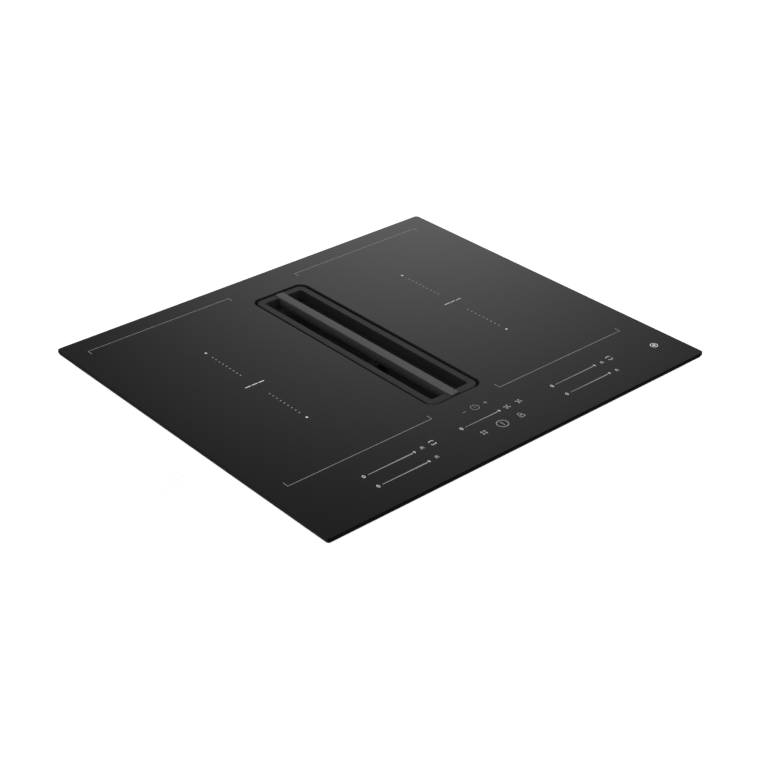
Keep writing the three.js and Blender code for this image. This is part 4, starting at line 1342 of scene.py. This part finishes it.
def makeTerminalCover(values):
    thick, inset = values["lid"], values["wall"] + values["spigotGap"]
    lidHigh = (coverHigh.x, coverHigh.y, coverLow.z + thick)
    lid = roundBlock("terminalCover", coverLow, lidHigh, values["corner"], 6)
    softenRim(lid, coverLow.z, values["edge"], 3)
    spigot = roundBlock("spigot", *drawnIn(coverLow, coverHigh, inset, inset, thick / 2),
                        values["corner"] - inset, 4)
    hollow = drawnIn(coverLow, coverHigh, 2 * inset, 2 * inset, thick, past)
    combine(spigot, roundBlock("hollow", *hollow, values["spigotCorner"], 2))
    combine(lid, spigot, "UNION")
    finishPiece(lid, "grey_plastic", ["terminal_cover"])
    y, z = middleOf(coverLow, coverHigh).y, coverLow.z + values["screwSink"]
    makeScrews("terminalScrews", values["screwHead"], [
        ((x, y, z), downwards)
        for x in (coverLow.x + values["screwInset"], coverHigh.x - values["screwInset"])
    ])


# Six-sided nut against the box and a ribbed neck behind it, on one bore.
def makeCableGland(values):
    start = boxHigh.y + values["glandGap"]
    length, nutLength = glandHigh.y - start, values["nutLength"]
    nut = addRod("cableGland", values["nutRadius"], 0, nutLength, sides=6)
    softenRim(nut, nutLength, values["nutEdge"])
    neck = addRod("neck", values["neck"] - values["neckDraw"], glandLow.y - start, length)
    softenRim(neck, length, values["neckEdge"], 3)
    combine(nut, neck, "UNION")
    long, proud, rounding = values["neckRib"]
    for i in range(values["neckRibs"]):
        z = nutLength + values["neckRibStart"] + i * values["neckRibPitch"]
        rib = addRod("rib", values["neck"] + proud, z, z + long)
        softenRim(rib, z + long, rounding)
        combine(nut, rib, "UNION")
    combine(nut, addRod("bore", values["bore"], glandLow.y - start - past, length + past))
    turnedTo(nut, (glandMiddle.x, start, glandMiddle.z), towardsBack)
    finishPiece(nut, "black_plastic", ["cable_gland"])


makeTerminalBox(terminalValues)
makeTerminalCover(terminalValues)
makeCableGland(terminalValues)
print("mains connection made")

# grease filter and drip tray

basketLow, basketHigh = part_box("filter_basket")
handleLow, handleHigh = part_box("filter_handle")

filterValues = {
    "corner": 6.5 * mm,
    "sheet": 1.6 * mm,
    "bend": 2.2 * mm,
    "rim": 1.2 * mm,
    "panes": 3,
    "post": 8 * mm,
    "paneLow": 10 * mm,
    "paneTop": 97.2 * mm,
    "paneCorner": 3 * mm,
    "drain": (4 * mm, 47 * mm),
    "drainDepth": 4 * mm,
    "diamond": 8.5 * mm,
    "flatness": 0.52,
    "wire": 0.9 * mm,
    "meshFrame": 4 * mm,
    "handleSheet": 1.5 * mm,
    "handleRound": 5 * mm,
    "fingerHole": 3.5 * mm,
}


# An open box: its mouth is narrower than its inside, which leaves a rolled rim.
def makeTub(name, low, high, values):
    corner, sheet, rim = values["corner"], values["sheet"], values["rim"]
    lip = sheet + rim
    shell = roundBlock(name, low, high, corner)
    softenRim(shell, low.z, values["bend"], 4)
    inside = drawnIn(low, high, sheet, sheet, sheet, -2 * rim)
    inside = roundBlock("inside", *inside, corner - sheet)
    softenRim(inside, low.z + sheet, values["bend"] - sheet / 2, 3)
    combine(shell, inside)
    mouthLow = (low.x + lip, low.y + lip, high.z - 4 * rim)
    mouthHigh = (high.x - lip, high.y - lip, high.z + past)
    combine(shell, roundBlock("mouth", mouthLow, mouthHigh, corner - lip))
    weld(shell)
    softenRim(shell, high.z, rim / 2, 3)
    return shell


def makeFilterBasket(values):
    shell = makeTub("filterBasket", basketLow, basketHigh, values)
    panes, post, size = values["panes"], values["post"], values["drain"]
    room = basketHigh.y - basketLow.y - 2 * values["corner"] - (panes + 1) * post
    pane, bottom = room / panes, basketLow.z
    cuts = []
    for y in rowOf(panes, pane + post, ventMiddle):
        cuts.append(roundBlock(
            "pane", (basketLow.x - past, y - pane / 2, bottom + values["paneLow"]),
            (basketHigh.x + past, y + pane / 2, bottom + values["paneTop"]),
            values["paneCorner"], 5, axis=0,
        ))
        heights = (bottom - past, bottom + values["drainDepth"])
        cuts.append(roundSlot(0, y, size, heights, size[0] * roundEnd, 4))
    combine(shell, joinAll(cuts, "cuts"))
    weld(shell)
    finishPiece(shell, "filter_metal", ["filter_basket"], "filter")


# Expanded metal: a turned grid drawn flat into diamonds, made into wires, and trimmed a
# millimetre inside the outline of its frame.
def makeFilterMesh(side, values):
    node = f"filter_mesh_{side}"
    low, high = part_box(node)
    middle = middleOf(low, high)
    height = (high.z - low.z) / values["flatness"]
    across = (high.y - low.y + height) / math.sqrt(2)
    cells = math.ceil(across / values["diamond"])
    startFresh()
    bpy.ops.mesh.primitive_grid_add(
        x_subdivisions=cells, y_subdivisions=cells, size=cells * values["diamond"],
    )
    panel = turnedTo(bpy.context.object, (0, 0, 0), (0, 0, math.pi / 4))
    panel.scale = (values["flatness"], 1, 1)
    turnedTo(panel, (0, 0, 0))
    turnedTo(panel, middle, towardsRight)
    wires = panel.modifiers.new("wires", "WIREFRAME")
    wires.thickness = values["wire"]
    wires.use_even_offset = False
    takeOnly(panel)
    bpy.ops.object.modifier_apply(modifier=wires.name)
    bpy.ops.object.mode_set(mode="EDIT")
    for axis in (1, 2):
        for edge, way in ((low, -1), (high, 1)):
            place, normal = list(middle), [0, 0, 0]
            place[axis] = edge[axis] - way * mm
            normal[axis] = way
            bpy.ops.mesh.select_all(action="SELECT")
            bpy.ops.mesh.bisect(plane_co=place, plane_no=normal, clear_outer=True, use_fill=True)
    done()
    border, width = addBlock("border", low, high), values["meshFrame"]
    combine(border, addBlock("hole", *drawnIn(low, high, -past, width, width, -width)))
    joinAll([panel, border], f"filterMesh{side.title()}")
    finishPiece(panel, "filter_metal", [node], "filter")


# A bail with a round shoulder on each side, hollow below, with a finger hole in its top.
def makeFilterHandle(values):
    sheet, radius, top = values["handleSheet"], values["handleRound"], handleHigh.z
    bail = roundBlock("filterHandle", handleLow, handleHigh, radius, axis=1,
                      suits=lambda place: place.z > top - near)
    gap = drawnIn(handleLow, handleHigh, sheet, -past, -past, -sheet)
    combine(bail, roundBlock("gap", *gap, radius - sheet, axis=1,
                             suits=lambda place: place.z > top - sheet - near))
    x, y, _ = middleOf(handleLow, handleHigh)
    combine(bail, addRod("hole", values["fingerHole"], top - sheet - past, top + past, x, y))
    finishPiece(bail, "filter_metal", ["filter_handle"], "filter", "black_plastic")


def makeDripTray(values):
    shell = makeTub("dripTray", trayLow, trayHigh, values)
    finishPiece(shell, "black_plastic", ["drip_tray"], "drip_tray")


makeFilterBasket(filterValues)
makeFilterMesh("left", filterValues)
makeFilterMesh("right", filterValues)
makeFilterHandle(filterValues)
makeDripTray(filterValues)
print("filter and tray made")
